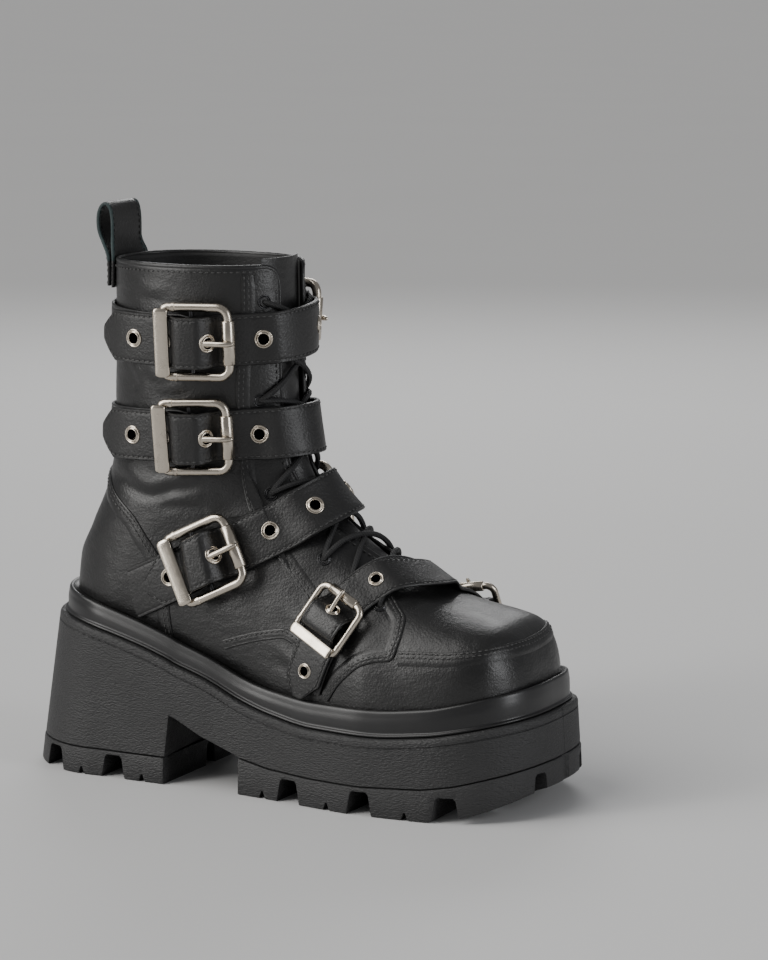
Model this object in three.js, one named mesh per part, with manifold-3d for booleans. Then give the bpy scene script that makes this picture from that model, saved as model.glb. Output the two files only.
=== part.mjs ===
// A right-foot platform ankle boot: chunky sole, laced and zipped leather upper, four buckled straps.
// Millimetres. +X points to the toe, +Y to the inner side of the foot, +Z up. Lengths along the boot
// are measured from just behind the heel, and the last step moves the origin under the middle.

import * as THREE from "three";
import { mergeVertices } from "three/addons/utils/BufferGeometryUtils.js";
import Module from "manifold-3d";

const wasm = await Module();
wasm.setup();

// ---------------------------------------------------------------- driving dimensions

const HEEL_X = 6.5; // back of the rim
const TOE_X = 277; // front of the rim
const HEEL_ROUND = 38; // length of the rounded heel end in plan
const TOE_ROUND = 42; // length of the blunt toe end in plan
const HEEL_POWER = 2.4; // squareness of the heel end in plan
const TOE_POWER = 2.9; // squareness of the toe end in plan
const TOE_SWING = 4; // how far the toe swings to the inner side
const COLLAR_Z = 263; // top edge of the shaft
const GAP = 0.3; // clearance between pieces that touch
const SLIVER = 0.03; // detail below this is dropped after a cut

const BREAST_X = 85; // front face of the heel
const FORE_X = 128; // rear edge of the forefoot tread
const TREAD_DEPTH = 12; // depth of the channels between the lugs
const BLOCK_LEDGE = 4; // how far the block stands out under the rim band
const HEEL_FLARE = 0.16; // outward lean of the heel's back wall, per mm of drop
const SIDE_FLARE = 0.06; // the same on the flanks and at the toe
const RIM_INSET = 1.2; // the bead on top of the rim band sits in from it by this

const WALL = 2.2; // leather and lining together
const SEAT = 5; // thickness of the insole
const TONGUE = 3; // thickness of the tongue
const LIFT = 0.8; // strap clearance over the curved upper
const HOLE_RADIUS = 2.6; // strap holes
const TIP_LENGTH = 9; // pointed end of a strap

const FRAME_LONG = 34; // buckle, bar centre to bar centre along the strap
const FRAME_WIDE = 35; // buckle, across the strap
const WIRE = 2.1; // radius of the buckle's wire
const FRAME_RISE = 5.6; // height of the wire's centre over the upper
const BAR = 1.5; // radius of the middle bar
const BAR_AT = -2; // middle bar, from the buckle's centre towards the tip
const ROLLER = 3; // radius of the roller sleeve
const PRONG = 1.3; // radius of the prong
const TURN = 3.5; // outer radius of the strap's turn round the middle bar

const LACE = 1.5; // radius of the lace

// Sole plan: half widths each side of the foot's centre line.
const PLAN = [
  { x: HEEL_X, lateral: 36, medial: 32 },
  { x: 42, lateral: 41, medial: 37 },
  { x: 75, lateral: 42, medial: 37 },
  { x: 110, lateral: 42.5, medial: 34.5 },
  { x: 140, lateral: 45, medial: 34 },
  { x: 170, lateral: 50, medial: 38 },
  { x: 200, lateral: 54, medial: 46 },
  { x: 230, lateral: 53, medial: 51 },
  { x: 255, lateral: 49, medial: 49 },
  { x: TOE_X, lateral: 43, medial: 43 },
];

// Sole heights: the block's underside and top, the height of the rim band, and the tread's ground line.
const PROFILE = [
  { x: HEEL_X, under: 14, top: 80.5, band: 11, ground: 0 },
  { x: 30, under: 14, top: 77.5, band: 10.5, ground: 0 },
  { x: 57, under: 14, top: 71.5, band: 9.5, ground: 0 },
  { x: BREAST_X - 1, under: 14, top: 63, band: 9, ground: 0 },
  { x: BREAST_X + 1, under: 36, top: 62, band: 9, ground: 0 },
  { x: 104, under: 27, top: 56, band: 8.7, ground: 0 },
  { x: FORE_X, under: 18.5, top: 46, band: 9, ground: 0 },
  { x: 145, under: 15.5, top: 41.5, band: 9.7, ground: 0 },
  { x: 170, under: 14.3, top: 38.3, band: 10.6, ground: 0 },
  { x: 200, under: 14.3, top: 38.2, band: 11, ground: 0 },
  { x: 232, under: 16, top: 41, band: 11.4, ground: 0 },
  { x: 248, under: 18.6, top: 43.8, band: 12, ground: 1.8 },
  { x: 264, under: 22.5, top: 47, band: 12.6, ground: 6.6 },
  { x: 281, under: 26.5, top: 50, band: 13, ground: 13.5 },
];

// The upper's sections, from the toe, over the instep and round into the shaft. Each lies in a plane
// from a point at the bottom or back (bx, bz) to one on the front ridge (tx, tz), square to the boot's
// side view. lateral, ridge and medial are across it, widest is where it is broadest along the plane,
// and low and high are the squareness of its two halves.
const SECTIONS = [
  { bx: 271.6, bz: 52, tx: 271.6, tz: 66, lateral: -10, ridge: 3.5, medial: 17, widest: 0.5, low: 2.6, high: 2.6 },
  { bx: 270.3, bz: 45, tx: 270.3, tz: 72, lateral: -18, ridge: 3.5, medial: 25, widest: 0.42, low: 3, high: 2.8 },
  { bx: 267.5, bz: 41, tx: 267.5, tz: 80, lateral: -25.7, ridge: 4, medial: 32.4, widest: 0.36, low: 3.4, high: 3 },
  { bx: 263, bz: 37, tx: 263, tz: 87, lateral: -32.8, ridge: 4, medial: 38.8, widest: 0.33, low: 3.6, high: 3.2 },
  { bx: 256.5, bz: 35, tx: 256.5, tz: 91.5, lateral: -39.1, ridge: 4, medial: 44.2, widest: 0.32, low: 3.8, high: 3.3 },
  { bx: 246, bz: 33, tx: 246, tz: 94, lateral: -43.7, ridge: 4.5, medial: 47.6, widest: 0.31, low: 4, high: 3.2 },
  { bx: 232, bz: 31, tx: 232, tz: 97, lateral: -46.2, ridge: 4.5, medial: 48.6, widest: 0.3, low: 4, high: 2.9 },
  { bx: 215, bz: 29, tx: 215, tz: 102.5, lateral: -47.6, ridge: 4.5, medial: 46.2, widest: 0.3, low: 4, high: 2.5 },
  { bx: 197, bz: 28, tx: 200, tz: 110.5, lateral: -48.3, ridge: 4, medial: 41, widest: 0.3, low: 3.8, high: 2.2 },
  { bx: 172, bz: 28, tx: 185, tz: 121, lateral: -45, ridge: 3, medial: 33.5, widest: 0.3, low: 3.4, high: 2.1 },
  { bx: 142, bz: 33, tx: 171.5, tz: 131.5, lateral: -40.5, ridge: 2, medial: 29.5, widest: 0.3, low: 3, high: 2.1 },
  { bx: 110, bz: 43, tx: 160, tz: 141, lateral: -38, ridge: 1, medial: 29.5, widest: 0.32, low: 2.8, high: 2.1 },
  { bx: 78, bz: 52, tx: 151.5, tz: 150, lateral: -37.2, ridge: 1, medial: 31, widest: 0.33, low: 2.6, high: 2.1 },
  { bx: 44, bz: 60, tx: 146.5, tz: 158.5, lateral: -36.8, ridge: 0, medial: 32, widest: 0.34, low: 2.6, high: 2.1 },
  { bx: 16, bz: 72, tx: 143, tz: 167, lateral: -36.3, ridge: 0, medial: 32.2, widest: 0.35, low: 2.5, high: 2.1 },
  { bx: 11.5, bz: 90, tx: 141, tz: 176, lateral: -35.8, ridge: 0, medial: 32.5, widest: 0.38, low: 2.4, high: 2.1 },
  { bx: 12.5, bz: 106, tx: 139.3, tz: 185, lateral: -35, ridge: 0, medial: 33, widest: 0.42, low: 2.3, high: 2.1 },
  { bx: 19, bz: 123, tx: 137.8, tz: 195, lateral: -34.5, ridge: 0, medial: 33.5, widest: 0.46, low: 2.2, high: 2.1 },
  { bx: 29, bz: 145, tx: 136.8, tz: 206, lateral: -35, ridge: 0, medial: 34, widest: 0.49, low: 2.2, high: 2.1 },
  { bx: 33.5, bz: 168, tx: 136.2, tz: 217, lateral: -36, ridge: 0, medial: 35, widest: 0.5, low: 2.2, high: 2.1 },
  { bx: 35, bz: 193, tx: 135.8, tz: 229, lateral: -37, ridge: 0, medial: 36.5, widest: 0.5, low: 2.2, high: 2.15 },
  { bx: 35.8, bz: 218, tx: 135.4, tz: 241, lateral: -38, ridge: 0, medial: 37.5, widest: 0.5, low: 2.2, high: 2.2 },
  { bx: 36.3, bz: 243, tx: 135, tz: 253, lateral: -38.7, ridge: 0, medial: 38, widest: 0.5, low: 2.2, high: 2.2 },
  { bx: 36.6, bz: 266, tx: 134.6, tz: 266, lateral: -39, ridge: 0, medial: 38.4, widest: 0.5, low: 2.2, high: 2.2 },
  { bx: 36.8, bz: 300, tx: 134, tz: 300, lateral: -39.6, ridge: 0, medial: 39, widest: 0.5, low: 2.2, high: 2.2 },
].map((row, index) => ({ ...row, u: index }));

const COLLAR_U = 23; // the section just over the collar
const BEYOND_U = SECTIONS.length - 1;
const THROAT_U = 7.6; // foot of the lace opening
const AROUND = 32; // points round each section

// Straps. Each follows the cut of a plane through the upper; q runs along it from a point on the front
// ridge, plus to the outer side. The plane turns from inner to normal as it passes the ridge. A buckle's
// q is its centre, its strap's tip passes it by tip, and its short strap ends at anchor. Holes are
// counted from the buckle towards the front. bridge is how high the strap stands over the laces, with
// how far it stays up and where it is down again, on the outer and the inner side. lanes are the points
// across the strap, and depth is how far under the ridge its plane turns. size scales the buckles.
const STRAPS = [
  {
    name: "upper_ankle", ridge: [145, 0, 230], normal: [0, -0.09, 1], ahead: [1, 0, 0], depth: 60, lanes: 2,
    width: 26, leather: 2.2, size: 1,
    bridge: { high: 3.8, outer: [17, 30], inner: [17, 30] },
    outer: { q: 56, tip: 54, anchor: 156, lift: 0, holes: [-33, -15, 6, 31] },
    inner: { q: -44, tip: 27, anchor: -78, lift: 0, holes: [-15, 6, 31] },
  },
  {
    name: "lower_ankle", ridge: [145, 0, 180.4], normal: [-0.04, 0, 1], ahead: [1, 0, 0], depth: 60, lanes: 2,
    width: 26, leather: 2.2, size: 1,
    bridge: { high: 3.7, outer: [17, 30], inner: [17, 30] },
    outer: { q: 58.5, tip: 54, anchor: 156, lift: 0, holes: [-33, -15, 6, 31] },
    inner: { sewn: -60, holes: [] },
  },
  {
    name: "instep", ridge: [160.8, -2.7, 146.9], normal: [-0.424, -0.127, 0.895], ahead: [1, 0, 0],
    depth: 45, lanes: 3, width: 26, leather: 2.2, size: 1,
    bridge: { high: 4.4, outer: [18, 32], inner: [17, 30] },
    outer: { q: 72, tip: 38, anchor: 122, lift: 2, holes: [-23, 6, 35, 58] },
    inner: { q: -42, tip: 38, anchor: -94, lift: 1.6, holes: [-28, 6, 30] },
  },
  {
    name: "toe", ridge: [206, -4, 118], normal: [-0.815, 0.509, 0.277], inner_normal: [-0.985, 0.17, 0],
    ahead: [0, 0, 1], depth: 55, lanes: 3, width: 21.4, leather: 1.5, size: 0.78,
    bridge: { high: 4.4, outer: [16, 32], inner: [15, 24] },
    outer: { q: 52, tip: 42, anchor: 90, lift: 1.3, holes: [-28, 4.5, 28] },
    inner: { q: -54, tip: 28, anchor: -75, lift: 2.4, holes: [-25, 4.5] },
  },
];

// ---------------------------------------------------------------- finishes

const finish = (color, roughness, metalness) => ({ color, roughness, metalness });
const FINISHES = {
  leather: finish(0x17171a, 0.42, 0),
  strapLeather: finish(0x19191b, 0.5, 0),
  lining: finish(0x232326, 0.8, 0),
  rubber: finish(0x1b1b1d, 0.85, 0),
  gloss: finish(0x151517, 0.35, 0),
  nickel: finish(0xb9b2a6, 0.3, 1),
  lace: finish(0x111113, 0.9, 0),
  zip: finish(0x1d1d1f, 0.5, 0.4),
};

// ---------------------------------------------------------------- tables and solids

const point = (x, y, z) => new THREE.Vector3(x, y, z);
const steps = (count) => Array.from({ length: count }, (_, i) => i);
const between = (from, to, count) => steps(count).map((i) => from + ((to - from) * i) / (count - 1));

/** Slope at a row of a table, kept from overshooting its neighbours. */
function rowSlope(rows, key, column, i) {
  const rise = (j) => (rows[j + 1][column] - rows[j][column]) / (rows[j + 1][key] - rows[j][key]);
  if (i === 0) return rise(0);
  if (i === rows.length - 1) return rise(i - 1);
  const [before, after] = [rise(i - 1), rise(i)];
  return before * after <= 0 ? 0 : (2 * before * after) / (before + after);
}

/** A column's smooth value where the key column has the given value. */
function smooth(rows, key, column, value) {
  const inside = THREE.MathUtils.clamp(value, rows[0][key], rows.at(-1)[key]);
  const i = Math.min(rows.length - 2, Math.max(0, rows.findLastIndex((row) => row[key] <= inside)));
  const span = rows[i + 1][key] - rows[i][key];
  const t = (inside - rows[i][key]) / span;
  const [m0, m1] = [rowSlope(rows, key, column, i) * span, rowSlope(rows, key, column, i + 1) * span];
  const [p0, p1] = [rows[i][column], rows[i + 1][column]];
  return (
    p0 * (1 + 2 * t) * (1 - t) ** 2 + m0 * t * (1 - t) ** 2 + p1 * t * t * (3 - 2 * t) + m1 * t * t * (t - 1)
  );
}

/** A column's straight-line value where the key column has the given value. */
function straight(rows, key, column, value) {
  const inside = THREE.MathUtils.clamp(value, rows[0][key], rows.at(-1)[key]);
  const i = Math.min(rows.length - 2, Math.max(0, rows.findLastIndex((row) => row[key] <= inside)));
  const t = (inside - rows[i][key]) / (rows[i + 1][key] - rows[i][key]);
  return rows[i][column] + (rows[i + 1][column] - rows[i][column]) * t;
}

/** Six times the volume that a closed list of triangles holds, negative when they face inwards. */
function signedVolume(points, faces) {
  const part = ([a, b, c]) => points[a].dot(points[b].clone().cross(points[c]));
  return faces.reduce((sum, face) => sum + part(face), 0);
}

/** A geometry of shared points and triangles, turned to face outwards. */
function geometryFrom(points, faces) {
  const outward = signedVolume(points, faces) < 0 ? faces.map(([a, b, c]) => [a, c, b]) : faces;
  const geometry = new THREE.BufferGeometry();
  const numbers = points.flatMap((p) => p.toArray());
  geometry.setAttribute("position", new THREE.Float32BufferAttribute(numbers, 3));
  geometry.setIndex(outward.flat());
  return geometry;
}

/** A closed geometry as a solid that can be joined and cut. */
function solid(geometry) {
  const bare = geometry.clone();
  bare.deleteAttribute("normal");
  bare.deleteAttribute("uv");
  const merged = mergeVertices(bare, 1e-4);
  const vertProperties = Float32Array.from(merged.attributes.position.array);
  const triVerts = Uint32Array.from(merged.index.array);
  return new wasm.Manifold(new wasm.Mesh({ numProp: 3, vertProperties, triVerts }));
}

/** A solid's surface as a geometry, without the slivers that cuts leave. */
function geometryOf(body) {
  const mesh = body.simplify(SLIVER).getMesh();
  const geometry = new THREE.BufferGeometry();
  geometry.setAttribute("position", new THREE.BufferAttribute(Float32Array.from(mesh.vertProperties), 3));
  geometry.setIndex(new THREE.BufferAttribute(Uint32Array.from(mesh.triVerts), 1));
  geometry.computeVertexNormals();
  return geometry;
}

const union = (bodies) => bodies.reduce((whole, body) => whole.add(body));
const cutAll = (body, cutters) => cutters.reduce((left, cutter) => left.subtract(cutter), body);

/** Triangles joining closed rings of points of one length, each ring starting at a multiple of it. */
function wallFaces(ringCount, perRing) {
  const faces = [];
  for (const k of steps(ringCount - 1)) {
    for (const j of steps(perRing)) {
      const [a, b] = [k * perRing + j, k * perRing + ((j + 1) % perRing)];
      faces.push([a, b, b + perRing], [a, b + perRing, a + perRing]);
    }
  }
  return faces;
}

/** A closed solid through rings of points, each end closed by a fan from its middle. */
function loft(rings) {
  const size = rings[0].length;
  const middle = (ring) => ring.reduce((sum, p) => sum.add(p), point(0, 0, 0)).divideScalar(size);
  const points = [...rings.flat(), middle(rings[0]), middle(rings.at(-1))];
  const [first, last] = [points.length - 2, points.length - 1];
  const start = (rings.length - 1) * size;
  const faces = wallFaces(rings.length, size);
  for (const j of steps(size)) {
    const next = (j + 1) % size;
    faces.push([first, next, j], [last, start + j, start + next]);
  }
  return geometryFrom(points, faces);
}

/** A closed sheet between two grids of points of one size, given as rows. */
function sheet(outer, inner) {
  const [rowCount, columns] = [outer.length, outer[0].length];
  const points = [...outer.flat(), ...inner.flat()];
  const half = rowCount * columns;
  const faces = [];
  const quad = (a, b, c, d) => faces.push([a, b, c], [a, c, d]);
  for (const i of steps(rowCount - 1)) {
    for (const j of steps(columns - 1)) {
      const a = i * columns + j;
      quad(a, a + 1, a + columns + 1, a + columns);
      quad(half + a, half + a + columns, half + a + columns + 1, half + a + 1);
    }
  }
  const edge = [
    ...steps(columns).map((j) => j),
    ...steps(rowCount).slice(1).map((i) => i * columns + columns - 1),
    ...steps(columns).slice(1).map((j) => half - 1 - j),
    ...steps(rowCount).slice(1, -1).map((i) => (rowCount - 1 - i) * columns),
  ];
  edge.forEach((a, k) => {
    const b = edge[(k + 1) % edge.length];
    quad(b, a, half + a, half + b);
  });
  return geometryFrom(points, faces);
}

/** A box of the given size about a centre, turned about Z. */
function box(size, centre, turn = 0) {
  const geometry = new THREE.BoxGeometry(...size);
  geometry.rotateZ(turn);
  geometry.translate(...centre);
  return geometry;
}

/** A round bar of equal ends between two points. */
function bar(from, to, radius, sides) {
  const axis = to.clone().sub(from);
  const geometry = new THREE.CylinderGeometry(radius, radius, axis.length(), sides);
  geometry.applyQuaternion(new THREE.Quaternion().setFromUnitVectors(point(0, 1, 0), axis.normalize()));
  return geometry.translate(...from.clone().add(to).multiplyScalar(0.5).toArray());
}

/** A round wire through points, its sides set out from a direction that it never runs along. */
function wire(points, radius, sides, beside) {
  const rings = points.map((p, i) => {
    const [before, after] = [points[Math.max(0, i - 1)], points[Math.min(points.length - 1, i + 1)]];
    const along = after.clone().sub(before).normalize();
    const first = beside.clone().projectOnPlane(along).normalize();
    const second = along.clone().cross(first);
    return steps(sides).map((k) => {
      const turn = (2 * Math.PI * (k + 0.5)) / sides;
      return p
        .clone()
        .addScaledVector(first, radius * Math.cos(turn))
        .addScaledVector(second, radius * Math.sin(turn));
    });
  });
  return loft(rings);
}

/** A round sleeve about the Y axis. */
function sleeve(inner, outer, half, sides) {
  const ring = [[inner, -half], [outer, -half], [outer, half], [inner, half], [inner, -half]];
  return new THREE.LatheGeometry(ring.map(([r, y]) => new THREE.Vector2(r, y)), sides);
}

// ---------------------------------------------------------------- sole

const quarter = (from, to, count, round) =>
  between(from, to, count).map((turn) => round * (1 - Math.cos((turn * Math.PI) / 180)));
const heelStations = quarter(9, 90, 5, HEEL_ROUND).map((into) => HEEL_X + into);
const toeStations = quarter(90, 9, 6, TOE_ROUND).map((into) => TOE_X - into);
const heelRun = [...heelStations, 64, BREAST_X - 1];
const foreRun = [FORE_X, 146, 166, 186, 204, 220, ...toeStations];
const wholeRun = [...heelRun, BREAST_X + 1, 104, ...foreRun];

/** How much of the half width the rounded ends leave at a station. */
function endRound(x) {
  const heel = THREE.MathUtils.clamp((HEEL_X + HEEL_ROUND - x) / HEEL_ROUND, 0, 1);
  const toe = THREE.MathUtils.clamp((x - TOE_X + TOE_ROUND) / TOE_ROUND, 0, 1);
  return (1 - heel ** HEEL_POWER) ** (1 / HEEL_POWER) * (1 - toe ** TOE_POWER) ** (1 / TOE_POWER);
}

/** The sole's outer (side -1) or inner (side 1) edge at a station. */
function planEdge(x, side) {
  const swing = TOE_SWING * Math.max(0, (x - 150) / (TOE_X - 150)) ** 1.2;
  const width = smooth(PLAN, "x", side < 0 ? "lateral" : "medial", x);
  return swing + side * width * endRound(x);
}

/** A point of the sole's edge, moved straight out of it in plan, at the height found for its place. */
function edgePoint(x, side, grow, height) {
  const step = 0.1;
  const rise = (planEdge(x + step, side) - planEdge(x - step, side)) / (2 * step);
  const away = new THREE.Vector2(-side * rise, side).normalize();
  const out = grow(x);
  const there = x + away.x * out;
  return point(there, planEdge(x, side) + away.y * out, height(there));
}

/** The sole's outline at the given stations: outer edge to the toe, inner edge back. */
function outline(stations, grow, height) {
  const edge = (side) => stations.map((x) => edgePoint(x, side, grow, height));
  return [...edge(-1), ...edge(1).reverse()];
}

/** A closed solid through outlines, with its two ends ruled straight across the foot. */
function soleSolid(rings) {
  const size = rings[0].length;
  const faces = wallFaces(rings.length, size);
  for (const base of [0, (rings.length - 1) * size]) {
    for (const i of steps(size / 2 - 1)) {
      const [a, b, c, d] = [base + i, base + i + 1, base + size - 2 - i, base + size - 1 - i];
      faces.push(...(base ? [[a, b, c], [a, c, d]] : [[a, c, b], [a, d, c]]));
    }
  }
  return geometryFrom(rings.flat(), faces);
}

const topOf = (x) => smooth(PROFILE, "x", "top", x);
const rimOf = (x) => topOf(x) + smooth(PROFILE, "x", "band", x);
const underOf = (x) => straight(PROFILE, "x", "under", x);
const groundOf = (x) => straight(PROFILE, "x", "ground", x);

/** How far the sole's wall stands outside the rim at a station and height. */
function flare(x, z) {
  const lean = SIDE_FLARE + (HEEL_FLARE - SIDE_FLARE) * Math.max(0, 1 - x / (HEEL_X + HEEL_ROUND));
  return BLOCK_LEDGE + lean * Math.max(0, topOf(x) - z);
}

/** The rubber block from heel to toe, without its tread. */
function platform() {
  const ledge = (x) => topOf(x) - 2;
  return soleSolid([
    outline(wholeRun, (x) => flare(x, underOf(x)), underOf),
    outline(wholeRun, (x) => flare(x, ledge(x)), ledge),
    outline(wholeRun, (x) => flare(x, topOf(x)) - 1.4, topOf),
  ]);
}

/** A channel that opens downwards, its root across the line from one point to the other. */
function channel(from, to, rootWidth, mouthWidth, depth, ground) {
  const along = point(to[0] - from[0], to[1] - from[1], 0).normalize();
  const away = point(-along.y, along.x, 0);
  const end = ([x, y]) =>
    [[-mouthWidth, -3], [mouthWidth, -3], [rootWidth, depth], [-rootWidth, depth]].map(([wide, z]) =>
      point(x, y, ground + z).addScaledVector(away, wide / 2),
    );
  return loft([end(from), end(to)]);
}

/** Channels across a tread, and the small notch in the middle of each lug's outer edge. */
function treadCuts(crossings, notches, spine) {
  const reach = 75;
  const across = crossings.map(({ x, slant, ground }) =>
    channel([x - slant, -reach], [x + slant, reach], 10, 15, TREAD_DEPTH, ground),
  );
  const small = notches.flatMap(({ x, ground }) =>
    [-1, 1].map((side) => {
      const edge = planEdge(x, side) + side * 12;
      return channel([x, edge], [x, edge - side * 16], 0.8, 6, 4, ground);
    }),
  );
  return [...across, ...small, channel([spine[0], spine[2]], [spine[1], spine[2]], 7, 10, TREAD_DEPTH, 0)];
}

/** The tread layer at the given stations, cut into lugs. */
function tread(stations, cuts) {
  const top = (x) => underOf(x) - GAP;
  const layer = soleSolid([
    outline(stations, (x) => flare(x, groundOf(x)), groundOf),
    outline(stations, (x) => flare(x, top(x)) + 0.4, top),
  ]);
  return geometryOf(cutAll(solid(layer), cuts.map(solid)));
}

const heelTread = () =>
  tread(
    heelRun.map((x) => (x === heelRun.at(-1) ? BREAST_X - 1.4 : x)),
    treadCuts(
      [{ x: 16, slant: 0, ground: 0 }, { x: 54, slant: 0, ground: 0 }],
      [{ x: 35, ground: 0 }, { x: 71, ground: 0 }],
      [16, 92, -1],
    ),
  );

const foreTread = () =>
  tread(
    foreRun,
    [
      ...treadCuts(
        [{ x: 160, slant: 3, ground: 0 }, { x: 202, slant: 3, ground: 0 }, { x: 246, slant: 2, ground: 1 }],
        [{ x: 142, ground: 0 }, { x: 181, ground: 0 }, { x: 224, ground: 0 }],
        [120, 246, 1],
      ),
      channel([262, -17], [300, -24], 8, 12, TREAD_DEPTH + 4, 6),
      channel([262, 25], [300, 32], 8, 12, TREAD_DEPTH + 4, 6),
    ],
  );

// ---------------------------------------------------------------- upper

const SECTION_COLUMNS = ["bx", "bz", "tx", "tz", "lateral", "ridge", "medial", "widest", "low", "high"];

/** All columns of the section table at a fractional row. */
function sectionAt(u) {
  return Object.fromEntries(SECTION_COLUMNS.map((column) => [column, smooth(SECTIONS, "u", column, u)]));
}

/** A point of one section: angle 0 on the front ridge, growing to the inner side, half a turn behind. */
function sectionPoint(s, angle) {
  const [along, across] = [Math.cos(angle), Math.sin(angle)];
  const power = 2 / (along > 0 ? s.high : s.low);
  const reach = along > 0 ? 1 - s.widest : s.widest;
  const t = s.widest + Math.sign(along) * reach * Math.abs(along) ** power;
  const side = across > 0 ? s.medial : s.lateral;
  const y = s.ridge + (side - s.ridge) * Math.abs(across) ** power;
  return point(s.bx + (s.tx - s.bx) * t, y, s.bz + (s.tz - s.bz) * t);
}

/** A point of the upper's outer face, moved out along its normal. */
function upperPoint(u, angle, out) {
  const [du, da] = [0.04, 0.03];
  const [u0, u1] = [Math.max(0, u - du), Math.min(BEYOND_U, u + du)];
  const here = sectionPoint(sectionAt(u), angle);
  if (out === 0) return here;
  const forward = sectionPoint(sectionAt(u1), angle).sub(sectionPoint(sectionAt(u0), angle));
  const s = sectionAt(u);
  const round = sectionPoint(s, angle + da).sub(sectionPoint(s, angle - da));
  return here.addScaledVector(round.cross(forward).normalize(), out);
}

const upperRows = [...between(0, 17, 18), 18.5, 20.5, COLLAR_U, BEYOND_U];
const angles = steps(AROUND).map((i) => (2 * Math.PI * (i + 0.5)) / AROUND);

/** The upper's closed form, every point moved out by the same distance. */
function lastForm(out) {
  return loft(upperRows.map((u) => angles.map((angle) => upperPoint(u, angle, out))));
}

/** Everything under the foot, up to a height over the block. */
function below(rise) {
  const high = (x) => topOf(x) + rise;
  return solid(soleSolid([outline(wholeRun, () => 20, () => -20), outline(wholeRun, () => 20, high)]));
}

const above = (z) => solid(box([400, 300, 100], [140, 0, z + 50]));

/** The angle on a section where the outer face lies a given distance across from its ridge. */
function angleAcross(u, across) {
  const s = sectionAt(u);
  const side = across > 0 ? s.medial : s.lateral;
  const part = Math.min(1, Math.abs(across / (side - s.ridge)));
  return Math.sign(across) * Math.asin(part ** (s.high / 2));
}

/** A band of the upper's face along its ridge, between two offsets from it. */
function ridgeBand(rows, halfWidth, columns, outer, inner) {
  const grid = (out) =>
    rows.map((u) =>
      between(-1, 1, columns).map((k) => upperPoint(u, angleAcross(u, k * halfWidth(u)), out)),
    );
  return sheet(grid(outer), grid(inner));
}

/** Half width of the lace opening, narrowest at its foot. */
const throatHalf = (u) => 8 + 5 * THREE.MathUtils.smoothstep(u, THROAT_U, THROAT_U + 3);

const outerForm = lastForm(0);
const outerSolid = solid(outerForm);

/** Rays that find the upper's outer face from outside. */
const face = new THREE.Mesh(outerForm, new THREE.MeshBasicMaterial({ side: THREE.DoubleSide }));
const ray = new THREE.Raycaster();

/** Where a ray from outside first meets the upper, going towards a point. */
function meetFace(from, towards) {
  ray.set(from, towards.clone().sub(from).normalize());
  return ray.intersectObject(face)[0].point;
}

// The zip lies on the inner side of the shaft, leaning forward as it goes down.
const ZIP = { topX: 57, bottomX: 74, bottomZ: 112, width: 5, slot: 6.4 };

/** A frame on the inner side at a height on the zip's line. */
function zipFrame(z) {
  const at = (height) => {
    const t = (COLLAR_Z - height) / (COLLAR_Z - ZIP.bottomZ);
    const x = ZIP.topX + (ZIP.bottomX - ZIP.topX) * t;
    return meetFace(point(x, 200, height), point(x, 0, height));
  };
  const origin = at(z);
  const up = at(z + 3).sub(at(z - 3)).normalize();
  const aside = meetFace(point(origin.x + 4, 200, z), point(origin.x + 4, 0, z));
  const across = aside.sub(origin).normalize();
  const out = up.clone().cross(across).negate().normalize();
  return { origin, up, out: out.y < 0 ? out.negate() : out, across: across.projectOnPlane(up).normalize() };
}

/** A strip along the zip's line between two heights and two offsets. */
function zipStrip(bottom, top, width, inner, outer, rows) {
  const grid = (out) =>
    between(bottom, top, rows).map((z) => {
      const f = zipFrame(z);
      const middle = f.origin.addScaledVector(f.out, out);
      return [-0.5, 0.5].map((k) => middle.clone().addScaledVector(f.across, k * width));
    });
  return sheet(grid(outer), grid(inner));
}

/** The leather shell: open at the collar, the throat, the zip and underneath. */
function upper() {
  const shell = outerSolid.subtract(solid(lastForm(-WALL)));
  const throat = ridgeBand([THROAT_U, ...between(8.5, 18.5, 9), 20.5, COLLAR_U, 23.6], throatHalf, 3, 9, -9);
  const slit = zipStrip(ZIP.bottomZ - 1, COLLAR_Z + 8, ZIP.slot, -8, 8, 12);
  return geometryOf(cutAll(shell, [below(GAP), above(COLLAR_Z), solid(throat), solid(slit)]));
}

/** The insole lies on the block, inside the upper's foot. */
function insole() {
  const plate = below(GAP + SEAT).subtract(below(GAP));
  return geometryOf(plate.intersect(solid(lastForm(-WALL - GAP))));
}

/** The tongue, under the throat from the vamp to just over the collar. */
function tongue() {
  const rows = [6.6, ...between(7.6, 18.6, 9), 20.8, 23, 23.1];
  const outer = -(WALL + 1);
  const half = (u) => 24 - 3 * THREE.MathUtils.smoothstep(u, 19, 23);
  return ridgeBand(rows, half, 5, outer, outer - TONGUE);
}

/** The smooth band round the foot of the upper, on the block. */
function rimBand() {
  const lift = (x) => topOf(x) + GAP;
  const band = soleSolid([
    outline(wholeRun, () => 0.5, lift),
    outline(wholeRun, () => 0, rimOf),
  ]);
  return geometryOf(solid(band).subtract(solid(lastForm(GAP))));
}

/** The raised bead on top of the band, against the leather. */
function bead() {
  const layer = soleSolid([
    outline(wholeRun, () => -RIM_INSET, (x) => rimOf(x) + GAP),
    outline(wholeRun, () => -RIM_INSET - 1, (x) => rimOf(x) + 2.4),
  ]);
  return geometryOf(solid(layer).subtract(solid(lastForm(GAP))));
}

// ---------------------------------------------------------------- straps

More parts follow.
